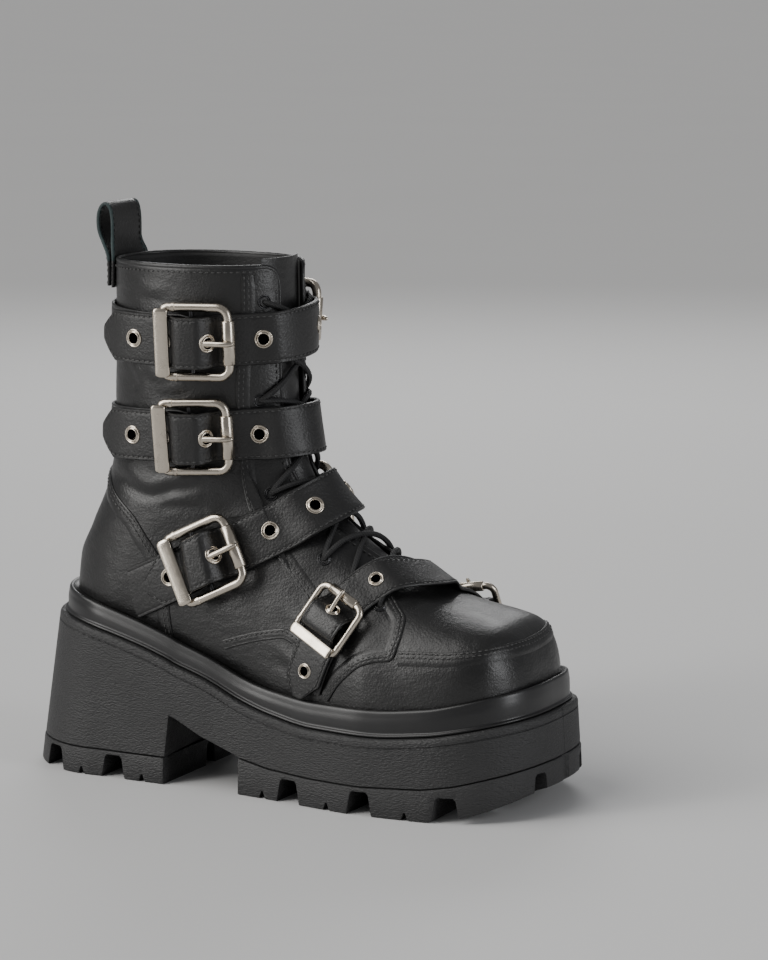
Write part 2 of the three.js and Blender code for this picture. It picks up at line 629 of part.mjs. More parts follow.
/** The line that a strap takes round the upper, measured from the front ridge. */
class StrapLine {
  constructor(strap) {
    this.normal = point(...strap.normal).normalize();
    this.innerNormal = point(...(strap.inner_normal ?? strap.normal)).normalize();
    this.ridge = point(...strap.ridge);
    this.forward = point(...strap.ahead);
    this.depth = strap.depth;
    this.core = this.ridge.clone().addScaledVector(this.forward, -this.depth);
    this.half = strap.width / 2;
    this.lanes = strap.lanes;
    this.bridge = strap.bridge;
    this.turns = between(-170, 236, 204);
    this.line = this.turns.map((turn) => this.hit(turn, 0));
    this.q = [0];
    for (const i of steps(this.line.length - 1)) {
      this.q.push(this.q[i] + this.line[i].distanceTo(this.line[i + 1]));
    }
    const zero = this.q[this.turns.findIndex((turn) => turn >= 0)];
    this.q = this.q.map((value) => value - zero);
  }

  /** Where the upper's face is met at a turn from the front, off the middle of the strap. */
  hit(turn, off) {
    const angle = (turn * Math.PI) / 180;
    const normal = this.innerNormal.clone().lerp(this.normal, THREE.MathUtils.smoothstep(turn, -30, 30));
    const ahead = this.forward.clone().projectOnPlane(normal.normalize()).normalize();
    const outer = ahead.clone().cross(normal);
    if (outer.y > 0) outer.negate();
    const way = ahead.clone().multiplyScalar(Math.cos(angle)).addScaledVector(outer, Math.sin(angle));
    const base = this.ridge.clone().addScaledVector(ahead, -this.depth).addScaledVector(normal, off);
    return meetFace(base.clone().addScaledVector(way, 300), base);
  }

  /** The turn at a length along the line. */
  turnAt(q) {
    const i = THREE.MathUtils.clamp(this.q.findLastIndex((value) => value <= q), 0, this.q.length - 2);
    const t = (q - this.q[i]) / (this.q[i + 1] - this.q[i]);
    return this.turns[i] + t * (this.turns[i + 1] - this.turns[i]);
  }

  /** Origin on the face, directions along to the outer side and out, and the share that keeps the width. */
  frame(q) {
    const span = 5;
    const [before, after] = [this.hit(this.turnAt(q - span), 0), this.hit(this.turnAt(q + span), 0)];
    const [low, high] = [this.hit(this.turnAt(q), -this.half), this.hit(this.turnAt(q), this.half)];
    const fit = (2 * this.half) / high.distanceTo(low);
    const along = after.sub(before).normalize();
    const origin = this.hit(this.turnAt(q), 0);
    const out = along.clone().cross(high.sub(low)).normalize();
    if (out.dot(origin.clone().sub(this.core)) < 0) out.negate();
    return { origin, along, out, fit };
  }

  /** Height at which the strap bridges the laces. */
  hump(q) {
    const [flat, end] = q > 0 ? this.bridge.outer : this.bridge.inner;
    return this.bridge.high * (1 - THREE.MathUtils.smoothstep(Math.abs(q), flat, end));
  }

  /** One row across a band: its points on the underside and on top, at a height over the face. */
  row(q, rise, thick, share = 1) {
    const { out, fit } = this.frame(q);
    const reach = share * fit * this.half;
    const spots = between(-1, 1, this.lanes).map((k) => this.hit(this.turnAt(q), k * reach));
    const lift = (extra) => spots.map((p) => p.clone().addScaledVector(out, rise + extra));
    return { under: lift(0), top: lift(thick) };
  }
}

/** A band through rows across it. */
const bandSheet = (rows) => sheet(rows.map((row) => row.top), rows.map((row) => row.under));

/** Direction from a buckle to the strap's tip: 1 on the outer side, -1 on the inner. */
const tipWay = (side) => Math.sign(side.q);

/** Height of the strap's underside over the face, at a distance from a buckle towards the front. */
function buckledRise({ size, leather }, side) {
  const over = size * (FRAME_RISE + TURN) + 1 + side.lift;
  return [
    { at: -90, rise: LIFT + leather + 0.4 },
    { at: -15 * size, rise: LIFT + leather + 0.4 },
    { at: -6.5 * size, rise: over },
    { at: 1.5 * size, rise: over },
    { at: 11 * size, rise: LIFT },
    { at: 90, rise: LIFT },
  ];
}

/** The long strap with its tips, passed through its buckles. */
function strapBody(strap, line) {
  const { outer, inner } = strap;
  const ends = [inner.q === undefined ? inner.sewn : inner.q - inner.tip, outer.q + outer.tip];
  const buckled = [outer, inner].filter((side) => side.q !== undefined);
  const passings = buckled.map((side) => ({ side, table: buckledRise(strap, side) }));
  const rise = (q) => {
    const over = passings.map(({ side, table }) => straight(table, "at", "rise", (side.q - q) * tipWay(side)));
    return Math.max(...over) + line.hump(q);
  };
  const taper = (q) => {
    const left = Math.min(ends[1] - q, inner.q === undefined ? TIP_LENGTH : q - ends[0]);
    return 0.3 + 0.7 * Math.min(1, left / TIP_LENGTH);
  };
  const marks = [ends[0], ends[0] + TIP_LENGTH, ends[1] - TIP_LENGTH, ends[1]];
  const bends = passings.flatMap(({ side, table }) =>
    table.slice(1, -1).map(({ at }) => side.q - tipWay(side) * at),
  );
  const even = steps(50).map((i) => ends[0] + 7 * i).filter((q) => q < ends[1]);
  const wanted = [...marks, ...bends];
  const lengths = [...wanted, ...even.filter((q) => wanted.every((mark) => Math.abs(mark - q) > 3.5))];
  return bandSheet(lengths.sort((a, b) => a - b).map((q) => line.row(q, rise(q), strap.leather, taper(q))));
}

/** A buckle's place at its size: x towards the front of the strap, y across it, z out of the boot. */
function buckleFrame(line, side, size) {
  const f = line.frame(side.q);
  const x = f.along.clone().multiplyScalar(-tipWay(side));
  const matrix = new THREE.Matrix4().makeBasis(x, f.out.clone().cross(x), f.out);
  matrix.scale(point(size, size, size));
  return matrix.setPosition(f.origin.addScaledVector(f.out, line.hump(side.q) + side.lift));
}

/** Round holes through a strap, at distances from a buckle towards the front. */
function strapHoles(line, side) {
  return side.holes.map((at) => {
    const { origin, out } = line.frame(side.q - tipWay(side) * at);
    const [low, high] = [origin.clone().addScaledVector(out, -2), origin.clone().addScaledVector(out, 18)];
    return solid(bar(low, high, HOLE_RADIUS, 8));
  });
}

/** The prong from its turn round the middle bar to over the roller, in the buckle's place. */
function needle(radius) {
  const top = FRAME_RISE + ROLLER + PRONG;
  const path = [
    point(BAR_AT + 1.2, 0, FRAME_RISE + 2.3),
    point(BAR_AT + 6, 0, FRAME_RISE + 3.6),
    point(FRAME_LONG / 2 - 3, 0, top + 0.9),
    point(FRAME_LONG / 2 + 2, 0, top + 0.5),
  ];
  return solid(wire(path, radius, 6, point(0, 1, 0)));
}

/** The prong with its turn round the middle bar. */
function prong() {
  const hollow = bar(point(BAR_AT, -5, FRAME_RISE), point(BAR_AT, 5, FRAME_RISE), BAR + 0.35, 8);
  const turn = sleeve(BAR + 0.35, BAR + 1.7, 1.6, 8).translate(BAR_AT, 0, FRAME_RISE);
  return needle(PRONG).subtract(solid(hollow)).add(solid(turn));
}

/** The wire frame, its middle bar and the flat keeper that holds the tip down. */
function frameSolid() {
  const [x, y, z] = [FRAME_LONG / 2, FRAME_WIDE / 2, FRAME_RISE];
  const corner = 6;
  const bend = (side) =>
    between(0, 90, 4).map((turn) => {
      const angle = (turn * Math.PI) / 180;
      return point(x - corner + corner * Math.sin(angle), side * (y - corner + corner * Math.cos(angle)), z);
    });
  const path = [point(-x, -y, z), ...bend(-1), ...bend(1).reverse(), point(-x, y, z)];
  const hoop = solid(wire(path, WIRE, 6, point(0, 0, 1)));
  const middle = solid(bar(point(BAR_AT, -y, z), point(BAR_AT, y, z), BAR, 8));
  const keeper = solid(box([7.4, 2 * y - 1, 2.2], [-x, 0, z + 3.2]));
  const posts = [-1, 1].map((s) => solid(box([4, 3, 4], [-x, s * (y - 1.8), z + 1])));
  return union([hoop, middle, keeper, ...posts]);
}

/** The roller on the frame's front bar. */
function roller() {
  const half = FRAME_WIDE / 2 - 6.6;
  return solid(sleeve(WIRE + GAP, ROLLER + 0.2, half, 10).translate(FRAME_LONG / 2, 0, FRAME_RISE));
}

/** The short strap that holds a buckle: sewn down behind, turned round the middle bar. */
function anchorStrap(line, strap, side, place) {
  const thick = strap.leather - 0.5;
  const behind = side.q + tipWay(side) * strap.size * (7 - BAR_AT);
  const count = Math.max(4, Math.round(Math.abs(side.anchor - behind) / 7.5) + 1);
  const strip = between(side.anchor, behind, count).map((q) => line.row(q, LIFT + line.hump(q), thick));
  const across = new THREE.Vector3().setFromMatrixColumn(place, 1);
  const hand = (Math.sign(across.dot(line.normal)) * (line.half - 1.5)) / strap.size;
  const lane = (x, z) => between(-1, 1, line.lanes).map((k) => point(x, k * hand, z).applyMatrix4(place));
  const bend = between(-90, 90, 5).map((turn) => {
    const angle = (turn * Math.PI) / 180;
    const at = (r) => lane(BAR_AT + r * Math.cos(angle), FRAME_RISE + r * Math.sin(angle));
    return { top: at(TURN - thick / strap.size), under: at(TURN) };
  });
  const tail = {
    top: lane(BAR_AT - 5, FRAME_RISE),
    under: lane(BAR_AT - 5, FRAME_RISE + thick / strap.size),
  };
  const slot = solid(box([9.6, 4.4, 14], [BAR_AT + 1.2, 0, FRAME_RISE]).applyMatrix4(place));
  return solid(bandSheet([...strip, ...bend, tail])).subtract(slot);
}

// ---------------------------------------------------------------- zip

/** The slider's place near the top of the zip: x across, y up the zip, z out. */
function sliderPlace() {
  const f = zipFrame(251);
  const y = f.up.clone();
  const z = f.out.clone().projectOnPlane(y).normalize();
  return new THREE.Matrix4().makeBasis(y.clone().cross(z), y, z).setPosition(f.origin);
}

const PIN = { y: 1.5, z: 5.6, radius: 0.8 }; // the pull's pivot, in the slider's place

/** The slider's body with the arch that holds its pull. */
function zipSlider() {
  const plate = solid(box([8.5, 13, 2.2], [0, 0, 1.9]));
  const cheeks = [-1, 1].map((s) => solid(box([1.4, 3.4, 4.6], [s * 3.4, PIN.y, 4.8])));
  const pin = solid(bar(point(-3.6, PIN.y, PIN.z), point(3.6, PIN.y, PIN.z), PIN.radius, 10));
  return union([plate, ...cheeks, pin]);
}

/** The pull tab, hanging from the slider's pin. */
function zipPull() {
  const [half, thick, long] = [2.3, 0.7, 24];
  const tab = new THREE.Shape();
  tab.moveTo(-half, 1.9);
  tab.lineTo(-half, -8);
  tab.lineTo(-half - 0.9, -11);
  tab.lineTo(-half - 0.9, 3 - long);
  tab.quadraticCurveTo(-half - 0.9, -long, 0, -long);
  tab.quadraticCurveTo(half + 0.9, -long, half + 0.9, 3 - long);
  tab.lineTo(half + 0.9, -11);
  tab.lineTo(half, -8);
  tab.lineTo(half, 1.9);
  tab.closePath();
  const flat = new THREE.ExtrudeGeometry(tab, { depth: 2 * thick, bevelEnabled: false, curveSegments: 3 });
  flat.translate(0, PIN.y, PIN.z - thick);
  const barrel = bar(point(-half, PIN.y, PIN.z), point(half, PIN.y, PIN.z), PIN.radius + 1.1, 12);
  const bore = bar(point(-9, PIN.y, PIN.z), point(9, PIN.y, PIN.z), PIN.radius + GAP, 12);
  return solid(flat).add(solid(barrel)).subtract(solid(bore));
}

// ---------------------------------------------------------------- laces and loop

const LACE_ROWS = [8.15, 9.2, 10.25, 11.5, 13.3, 15.6, 17.7, 19.6, 21.5]; // eyelet pairs, by section
const LACE_REACH = 13; // how far each side of the ridge a crossing is modelled

/** One crossing of the lace over the tongue, between two eyelet pairs. */
function laceCrossing(low, high) {
  const strand = (side) => {
    const spot = (t) => {
      const u = low + (high - low) * (0.14 + 0.72 * t);
      const edge = THREE.MathUtils.smoothstep(Math.abs(1 - 2 * t), 0.2, 0.8);
      const middle = side > 0 ? 1 : -0.6;
      const out = middle + (LACE + 0.8 - middle) * edge;
      return upperPoint(u, angleAcross(u, side * (1.001 - 2 * t) * LACE_REACH), out);
    };
    return solid(wire(between(0, 1, 6).map(spot), LACE, 5, point(0.7, 0, 0.7)));
  };
  return strand(1).add(strand(-1));
}

/** The pull loop at the back of the collar: a tail on the shaft, a flat turn of strip over it. */
function pullLoop() {
  const halfTurn = 0.42;
  const spread = (z, k, out) => {
    const u = z < 266 ? COLLAR_U - (266 - z) / 23 : COLLAR_U + (z - 266) / 34;
    const curved = upperPoint(u, Math.PI + k * halfTurn, out);
    const rigid = point(sectionAt(u).bx - out, -k * 13.5, curved.z);
    return curved.lerp(rigid, THREE.MathUtils.smoothstep(z, COLLAR_Z - 2, COLLAR_Z + 12) * 0.8);
  };
  const route = [
    [248, 1.9], [260, 1.7], [268, 1.6], [276, 1.2], [284, 1.4], [289, 2.6], [291, 5],
    [289.5, 7.6], [285, 9.3], [278, 9], [270, 6], [264, 4.2], [256, 3.8], [249, 3.9],
  ];
  const thick = 1.5;
  const sides = route.map(([z, out], i) => {
    const [a, b] = [route[Math.max(0, i - 1)], route[Math.min(route.length - 1, i + 1)]];
    const way = new THREE.Vector2(b[1] - a[1], b[0] - a[0]).normalize();
    return { z, out, tilt: way };
  });
  const grid = (off) =>
    sides.map(({ z, out, tilt }) =>
      between(-1, 1, 4).map((k) => spread(z - tilt.x * off, k, out + tilt.y * off)),
    );
  return solid(sheet(grid(thick / 2), grid(-thick / 2)));
}

// ---------------------------------------------------------------- assembly

const boot = new THREE.Group();

/** Adds a named piece to the boot. */
function place(name, geometry, look) {
  const mesh = new THREE.Mesh(geometry, new THREE.MeshStandardMaterial(look));
  mesh.name = name;
  boot.add(mesh);
}

place("platform", platform(), FINISHES.rubber);
place("tread_heel", heelTread(), FINISHES.rubber);
place("tread_forefoot", foreTread(), FINISHES.rubber);
place("rim_band", rimBand(), FINISHES.gloss);
place("rim_bead", bead(), FINISHES.gloss);
place("upper", upper(), FINISHES.leather);
place("tongue", tongue(), FINISHES.leather);
place("insole", insole(), FINISHES.lining);
place("pull_loop", geometryOf(pullLoop()), FINISHES.leather);

for (const strap of STRAPS) {
  const line = new StrapLine(strap);
  const sides = [["outer", strap.outer], ["inner", strap.inner]].filter(([, side]) => side.q !== undefined);
  let body = solid(strapBody(strap, line));
  for (const [word, side] of sides) {
    const matrix = buckleFrame(line, side, strap.size);
    const name = `${strap.name}_${word}`;
    const set = (whole) => geometryOf(whole.transform(matrix.elements));
    body = cutAll(body, [...strapHoles(line, side), needle(PRONG + 0.5).transform(matrix.elements)]);
    place(`anchor_${name}`, geometryOf(anchorStrap(line, strap, side, matrix)), FINISHES.strapLeather);
    place(`buckle_${name}`, set(frameSolid()), FINISHES.nickel);
    place(`roller_${name}`, set(roller()), FINISHES.nickel);
    place(`prong_${name}`, set(prong()), FINISHES.nickel);
  }
  place(`strap_${strap.name}`, geometryOf(body), FINISHES.strapLeather);
}

const slider = sliderPlace();
place("zip_chain", zipStrip(ZIP.bottomZ, COLLAR_Z - 3, ZIP.width, -2.2, 0.4, 12), FINISHES.zip);
place("zip_slider", geometryOf(zipSlider().transform(slider.elements)), FINISHES.zip);
place("zip_pull", geometryOf(zipPull().transform(slider.elements)), FINISHES.zip);

LACE_ROWS.slice(1).forEach((high, i) => {
  place(`lace_crossing_${i + 1}`, geometryOf(laceCrossing(LACE_ROWS[i], high)), FINISHES.lace);
});

const size = new THREE.Box3().setFromObject(boot);
const middle = size.getCenter(point(0, 0, 0));
boot.position.set(-middle.x, -middle.y, -size.min.z);

export default boot;
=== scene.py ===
"""Dresses the frame of a right platform boot: leather, straps, buckles, laces, zip and lugged sole.

Shapes are worked out in boot millimetres, with the origin on the floor just behind the heel, x to the
toe, y to the inner side and z up, and turned into the frame's metres when a piece is made.
"""

from __future__ import annotations

import logging
import math
from dataclasses import dataclass, field
from enum import Enum
from typing import Any, Callable, Sequence

import bmesh
import bpy
import numpy as np
from mathutils import Matrix, Vector
from mathutils.bvhtree import BVHTree

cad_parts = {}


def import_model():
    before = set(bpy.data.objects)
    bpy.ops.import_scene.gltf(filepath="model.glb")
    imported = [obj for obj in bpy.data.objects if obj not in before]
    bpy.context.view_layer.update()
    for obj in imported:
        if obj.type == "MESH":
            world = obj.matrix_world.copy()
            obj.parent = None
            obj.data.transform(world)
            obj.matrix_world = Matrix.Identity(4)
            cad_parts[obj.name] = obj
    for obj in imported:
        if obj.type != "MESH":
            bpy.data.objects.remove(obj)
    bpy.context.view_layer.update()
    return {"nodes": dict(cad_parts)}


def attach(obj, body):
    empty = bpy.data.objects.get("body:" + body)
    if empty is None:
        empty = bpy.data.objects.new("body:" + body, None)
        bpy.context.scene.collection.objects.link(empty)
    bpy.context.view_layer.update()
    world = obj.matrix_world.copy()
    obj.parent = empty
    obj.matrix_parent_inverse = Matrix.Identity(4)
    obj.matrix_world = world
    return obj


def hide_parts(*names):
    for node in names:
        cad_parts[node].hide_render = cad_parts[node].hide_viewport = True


LOG = logging.getLogger("boot")
ORIGIN = np.array([137.098, 0.5643, 0.0])  # the frame's centre in boot millimetres
MILLIMETRE = 0.001
WELD = 1e-6  # vertices nearer than this are one
POLE_WELD = 2e-5  # the same, where the toe's rows close in
SHARP = math.radians(38)  # edges that turn more than this stay crisp
LUG_SHARP = math.radians(28)
LUG_BEVEL = math.radians(42)
LUG_ROUND = 0.0005
METAL_SHARP = math.radians(60)
BAND_SHARP = math.radians(75)

HEEL_X, TOE_X = 6.5, 277.0  # the sole's ends, without its ledge
HEEL_ROUND, TOE_ROUND = 38.0, 42.0  # lengths over which the plan rounds off
HEEL_POWER, TOE_POWER = 2.4, 2.9  # how square the rounding is
TOE_SWING = 4.0  # how far the toe swings to the inner side
COLLAR_Z = 263.0
SHAFT_Z = 190.0  # above this the upper is an upright shaft
BREAST_X, FORE_X = 85.0, 128.0  # the heel's front face and the forefoot's rear one
WALL = 2.2  # thickness of the upper
COLLAR_U = 23.0  # places in SECTIONS of the collar and of the throat's foot
THROAT_U = 7.6


class Side(Enum):
    """The two sides of the boot, with the sign of their y."""

    OUTER = -1
    INNER = 1


# ---------------------------------------------------------------- tables

PLAN = [  # x, outer half width, inner half width
    (6.5, 36, 32), (42, 41, 37), (75, 42, 37), (110, 42.5, 34.5), (140, 45, 34),
    (170, 50, 38), (200, 54, 46), (230, 53, 51), (255, 49, 49), (277, 43, 43),
]
PROFILE = [  # x, block underside, block top, band height, ground
    (6.5, 14, 80.5, 11, 0), (30, 14, 77.5, 10.5, 0), (57, 14, 71.5, 9.5, 0), (84, 14, 63, 9, 0),
    (86, 36, 62, 9, 0), (104, 27, 56, 8.7, 0), (128, 18.5, 46, 9, 0), (145, 15.5, 41.5, 9.7, 0),
    (170, 14.3, 38.3, 10.6, 0), (200, 14.3, 38.2, 11, 0), (232, 16, 41, 11.4, 0),
    (248, 18.6, 43.8, 12, 1.8), (264, 22.5, 47, 12.6, 6.6), (281, 26.5, 50, 13, 13.5),
]
SECTIONS = [  # bottom x z, top x z, outer, ridge, inner, widest, squareness low and high
    (271.6, 52, 271.6, 66, -10, 3.5, 17, 0.5, 2.6, 2.6),
    (270.3, 45, 270.3, 72, -18, 3.5, 25, 0.42, 3, 2.8),
    (267.5, 41, 267.5, 80, -25.7, 4, 32.4, 0.36, 3.4, 3),
    (263, 37, 263, 87, -32.8, 4, 38.8, 0.33, 3.6, 3.2),
    (256.5, 35, 256.5, 91.5, -39.1, 4, 44.2, 0.32, 3.8, 3.3),
    (246, 33, 246, 94, -43.7, 4.5, 47.6, 0.31, 4, 3.2),
    (232, 31, 232, 97, -46.2, 4.5, 48.6, 0.3, 4, 2.9),
    (215, 29, 215, 102.5, -47.6, 4.5, 46.2, 0.3, 4, 2.5),
    (197, 28, 200, 110.5, -48.3, 4, 41, 0.3, 3.8, 2.2),
    (172, 28, 185, 121, -45, 3, 33.5, 0.3, 3.4, 2.1),
    (142, 33, 171.5, 131.5, -40.5, 2, 29.5, 0.3, 3, 2.1),
    (110, 43, 160, 141, -38, 1, 29.5, 0.32, 2.8, 2.1),
    (78, 52, 151.5, 150, -37.2, 1, 31, 0.33, 2.6, 2.1),
    (44, 60, 146.5, 158.5, -36.8, 0, 32, 0.34, 2.6, 2.1),
    (16, 72, 143, 167, -36.3, 0, 32.2, 0.35, 2.5, 2.1),
    (11.5, 90, 141, 176, -35.8, 0, 32.5, 0.38, 2.4, 2.1),
    (12.5, 106, 139.3, 185, -35, 0, 33, 0.42, 2.3, 2.1),
    (19, 123, 137.8, 195, -34.5, 0, 33.5, 0.46, 2.2, 2.1),
    (29, 145, 136.8, 206, -35, 0, 34, 0.49, 2.2, 2.1),
    (33.5, 168, 136.2, 217, -36, 0, 35, 0.5, 2.2, 2.1),
    (35, 193, 135.8, 229, -37, 0, 36.5, 0.5, 2.2, 2.15),
    (35.8, 218, 135.4, 241, -38, 0, 37.5, 0.5, 2.2, 2.2),
    (36.3, 243, 135, 253, -38.7, 0, 38, 0.5, 2.2, 2.2),
    (36.6, 266, 134.6, 266, -39, 0, 38.4, 0.5, 2.2, 2.2),
    (36.8, 300, 134, 300, -39.6, 0, 39, 0.5, 2.2, 2.2),
]


class Table:
    """Columns of numbers that follow a key, read between their rows."""

    def __init__(self, rows: Sequence[Sequence[float]]) -> None:
        """Takes rows whose first number is the key."""
        data = np.array(rows, dtype=float)
        self.keys, self.values = data[:, 0], data[:, 1:]
        rise = np.diff(self.values, axis=0) / np.diff(self.keys)[:, None]
        before, after = rise[:-1], rise[1:]
        total = np.where(before + after == 0, 1, before + after)
        inner = np.where(before * after <= 0, 0, 2 * before * after / total)
        self.slopes = np.vstack([rise[:1], inner, rise[-1:]])

    def _where(self, at: np.ndarray) -> tuple[np.ndarray, np.ndarray, np.ndarray]:
        """The row under each key, how far it is to the next one, and the span between them."""
        inside = np.clip(at, self.keys[0], self.keys[-1])
        i = np.clip(np.searchsorted(self.keys, inside, side="right") - 1, 0, len(self.keys) - 2)
        span = self.keys[i + 1] - self.keys[i]
        return i, ((inside - self.keys[i]) / span)[..., None], span[..., None]

    def smooth(self, at: Any) -> np.ndarray:
        """Every column's smooth value at the keys."""
        i, t, span = self._where(np.asarray(at, dtype=float))
        start, end = self.values[i], self.values[i + 1]
        leave, arrive = self.slopes[i] * span, self.slopes[i + 1] * span
        return (
            start * (1 + 2 * t) * (1 - t) ** 2
            + leave * t * (1 - t) ** 2
            + end * t * t * (3 - 2 * t)
            + arrive * t * t * (t - 1)
        )

    def straight(self, at: Any) -> np.ndarray:
        """Every column's straight-line value at the keys."""
        i, t, _ = self._where(np.asarray(at, dtype=float))
        return self.values[i] * (1 - t) + self.values[i + 1] * t


def smoothstep(value: Any, low: float, high: float) -> Any:
    """Eased share of the way from low to high."""
    t = np.clip((np.asarray(value, dtype=float) - low) / (high - low), 0, 1)
    return t * t * (3 - 2 * t)


def unit(vectors: np.ndarray) -> np.ndarray:
    """The vectors at length one."""
    return vectors / np.maximum(np.linalg.norm(vectors, axis=-1, keepdims=True), 1e-12)


def metres(points: np.ndarray) -> np.ndarray:
    """Boot millimetres as the frame's metres."""
    return (np.asarray(points, dtype=float) - ORIGIN) * MILLIMETRE


def curve_through(points: Sequence[Sequence[float]], step: float) -> np.ndarray:
    """A smooth line through points, sampled evenly.

    Args:
        points: Places that the line passes, at least two.
        step: Distance between samples.

    Returns:
        The samples, ends included.
    """
    knots = np.array(points, dtype=float)
    padded = np.vstack([2 * knots[0] - knots[1], knots, 2 * knots[-1] - knots[-2]])
    t = np.linspace(0, 1, 24, endpoint=False)[:, None]
    parts = []
    for a, b, c, d in zip(padded, padded[1:], padded[2:], padded[3:]):
        parts.append(
            0.5 * (2 * b + (c - a) * t + (2 * a - 5 * b + 4 * c - d) * t**2 + (3 * b - a - 3 * c + d) * t**3)
        )
    return spaced(np.vstack([*parts, knots[-1:]]), step)


def spaced(line: np.ndarray, step: float) -> np.ndarray:
    """The same line with its points a step apart."""
    length = np.concatenate([[0], np.cumsum(np.linalg.norm(np.diff(line, axis=0), axis=1))])
    count = max(2, int(round(length[-1] / step)) + 1)
    at = np.linspace(0, length[-1], count)
    return np.stack([np.interp(at, length, line[:, k]) for k in range(line.shape[1])], axis=1)


# ---------------------------------------------------------------- mesh making


class Workpiece:
    """A mesh on the bench: shapes are added to it, then it becomes an object of the boot."""

    def __init__(self, name: str) -> None:
        """Starts an empty mesh for the named piece."""
        self.name = name
        self.bm = bmesh.new()

    def sheet(self, points: np.ndarray, around: bool = False, along: bool = False, finish: int = 0) -> list:
        """Adds a grid whose vertices take the given places.

        Args:
            points: Places in boot millimetres, rows by columns.
            around: Joins the last column to the first.
            along: Joins the last row to the first.
            finish: Index of its material.

        Returns:
            The faces of the grid.
        """
        grid = np.asarray(points, dtype=float)
        if around:
            grid = np.concatenate([grid, grid[:, :1]], axis=1)
        if along:
            grid = np.concatenate([grid, grid[:1]], axis=0)
        rows, columns = grid.shape[:2]
        made = bmesh.ops.create_grid(self.bm, x_segments=columns - 1, y_segments=rows - 1, size=1.0)["verts"]
        for vert, place in zip(made, metres(grid.reshape(-1, 3))):
            vert.co = place
        faces = list(dict.fromkeys(face for vert in made for face in vert.link_faces))
        for face in faces:
            face.material_index = finish
        seam = [v for r in range(rows) for v in (made[r * columns], made[(r + 1) * columns - 1])] if around else []
        if along:
            seam += [*made[:columns], *made[-columns:]]
        if seam:
            bmesh.ops.remove_doubles(self.bm, verts=list(dict.fromkeys(seam)), dist=WELD)
        return [face for face in faces if face.is_valid]

    def close(self, faces: list) -> None:
        """Fills the open ends of the given faces."""
        ends = list(dict.fromkeys(edge for face in faces for edge in face.edges if edge.is_boundary))
        index = faces[0].material_index
        for face in bmesh.ops.holes_fill(self.bm, edges=ends, sides=0)["faces"]:
            face.material_index = index

    def sweep(
        self,
        path: np.ndarray,
        shape: np.ndarray,
        guide: Any = None,
        scale: Any = None,
        loop: bool = False,
        finish: int = 0,
    ) -> None:
        """Carries a closed outline along a path.

        Args:
            path: Points of the path in boot millimetres.
            shape: Outline points, aside and out.
            guide: A direction that stays beside the path, one or one for each point.
            scale: Size of the outline at each point.
            loop: Whether the path closes on itself.
            finish: Index of its material.
        """
        if loop:
            ahead = unit(np.roll(path, -1, axis=0) - np.roll(path, 1, axis=0))
        else:
            ahead = unit(np.gradient(path, axis=0))
        if guide is None:
            guide = carried_guides(ahead)
        side = np.broadcast_to(np.asarray(guide, dtype=float), path.shape)
        side = unit(side - ahead * np.sum(side * ahead, axis=1, keepdims=True))
        out = np.cross(ahead, side)
        size = np.ones(len(path)) if scale is None else np.asarray(scale, dtype=float)
        across, high = (shape[None, :, k] * size[:, None] for k in (0, 1))
        grid = path[:, None] + side[:, None] * across[..., None] + out[:, None] * high[..., None]
        faces = self.sheet(grid, around=True, along=loop, finish=finish)
        if not loop:
            self.close(faces)

    def wire(self, path: np.ndarray, radius: float, sides: int = 10, **options: Any) -> None:
        """Adds a round wire along a path, its ends rounded off where it has any."""
        if not options.get("loop"):
            ends = unit(np.array([path[0] - path[1], path[-1] - path[-2]]))
            front = [path[0] + ends[0] * radius * f for f in (0.85, 0.6, 0.25)]
            back = [path[-1] + ends[1] * radius * f for f in (0.25, 0.6, 0.85)]
            size = options.pop("scale", np.ones(len(path)))
            path = np.vstack([front, path, back])
            caps = np.array([0.5, 0.8, 0.97])
            options["scale"] = np.concatenate([caps * size[0], size, caps[::-1] * size[-1]])
            if np.ndim(options.get("guide")) == 2:
                guide = options["guide"]
                options["guide"] = np.vstack([guide[[0] * 3], guide, guide[[-1] * 3]])
        self.sweep(path, circle(radius, sides), **options)

    def turned(self, profile: Sequence[tuple[float, float]], place: Matrix, steps: int, finish: int = 0) -> None:
        """Adds a shape spun round its own axis.

        Args:
            profile: Radius and height of each ring.
            place: Where it goes, its z the axis of the spin.
            steps: Rings' number of sides.
            finish: Index of its material.
        """
        turn = np.linspace(0, 2 * np.pi, steps, endpoint=False)
        rings = np.array([[(r * np.cos(a), r * np.sin(a), h) for a in turn] for r, h in profile])
        self.close(self.sheet(moved(rings, place), around=True, finish=finish))

    def block(self, size: Sequence[float], place: Matrix, round_off: float = 0, finish: int = 0) -> None:
        """Adds a box with rounded edges.

        Args:
            size: Its three sides in millimetres.
            place: Where its centre goes.
            round_off: Radius of the edges, none at 0.
            finish: Index of its material.
        """
        made = bmesh.ops.create_cube(self.bm, size=1.0)["verts"]
        for vert in made:
            vert.co = Vector([c * s for c, s in zip(vert.co, size)])
        faces = list(dict.fromkeys(face for vert in made for face in vert.link_faces))
        if round_off:
            edges = list(dict.fromkeys(edge for face in faces for edge in face.edges))
            made_by = bmesh.ops.bevel(
                self.bm, geom=[*edges, *made], offset=round_off, affect="EDGES", segments=3, profile=0.5, material=-1
            )
            faces = list(dict.fromkeys([*(f for f in faces if f.is_valid), *made_by["faces"]]))
        for vert in dict.fromkeys(vert for face in faces for vert in face.verts):
            vert.co = Vector(metres(np.array(place @ vert.co)))
        for face in faces:
            face.material_index = finish

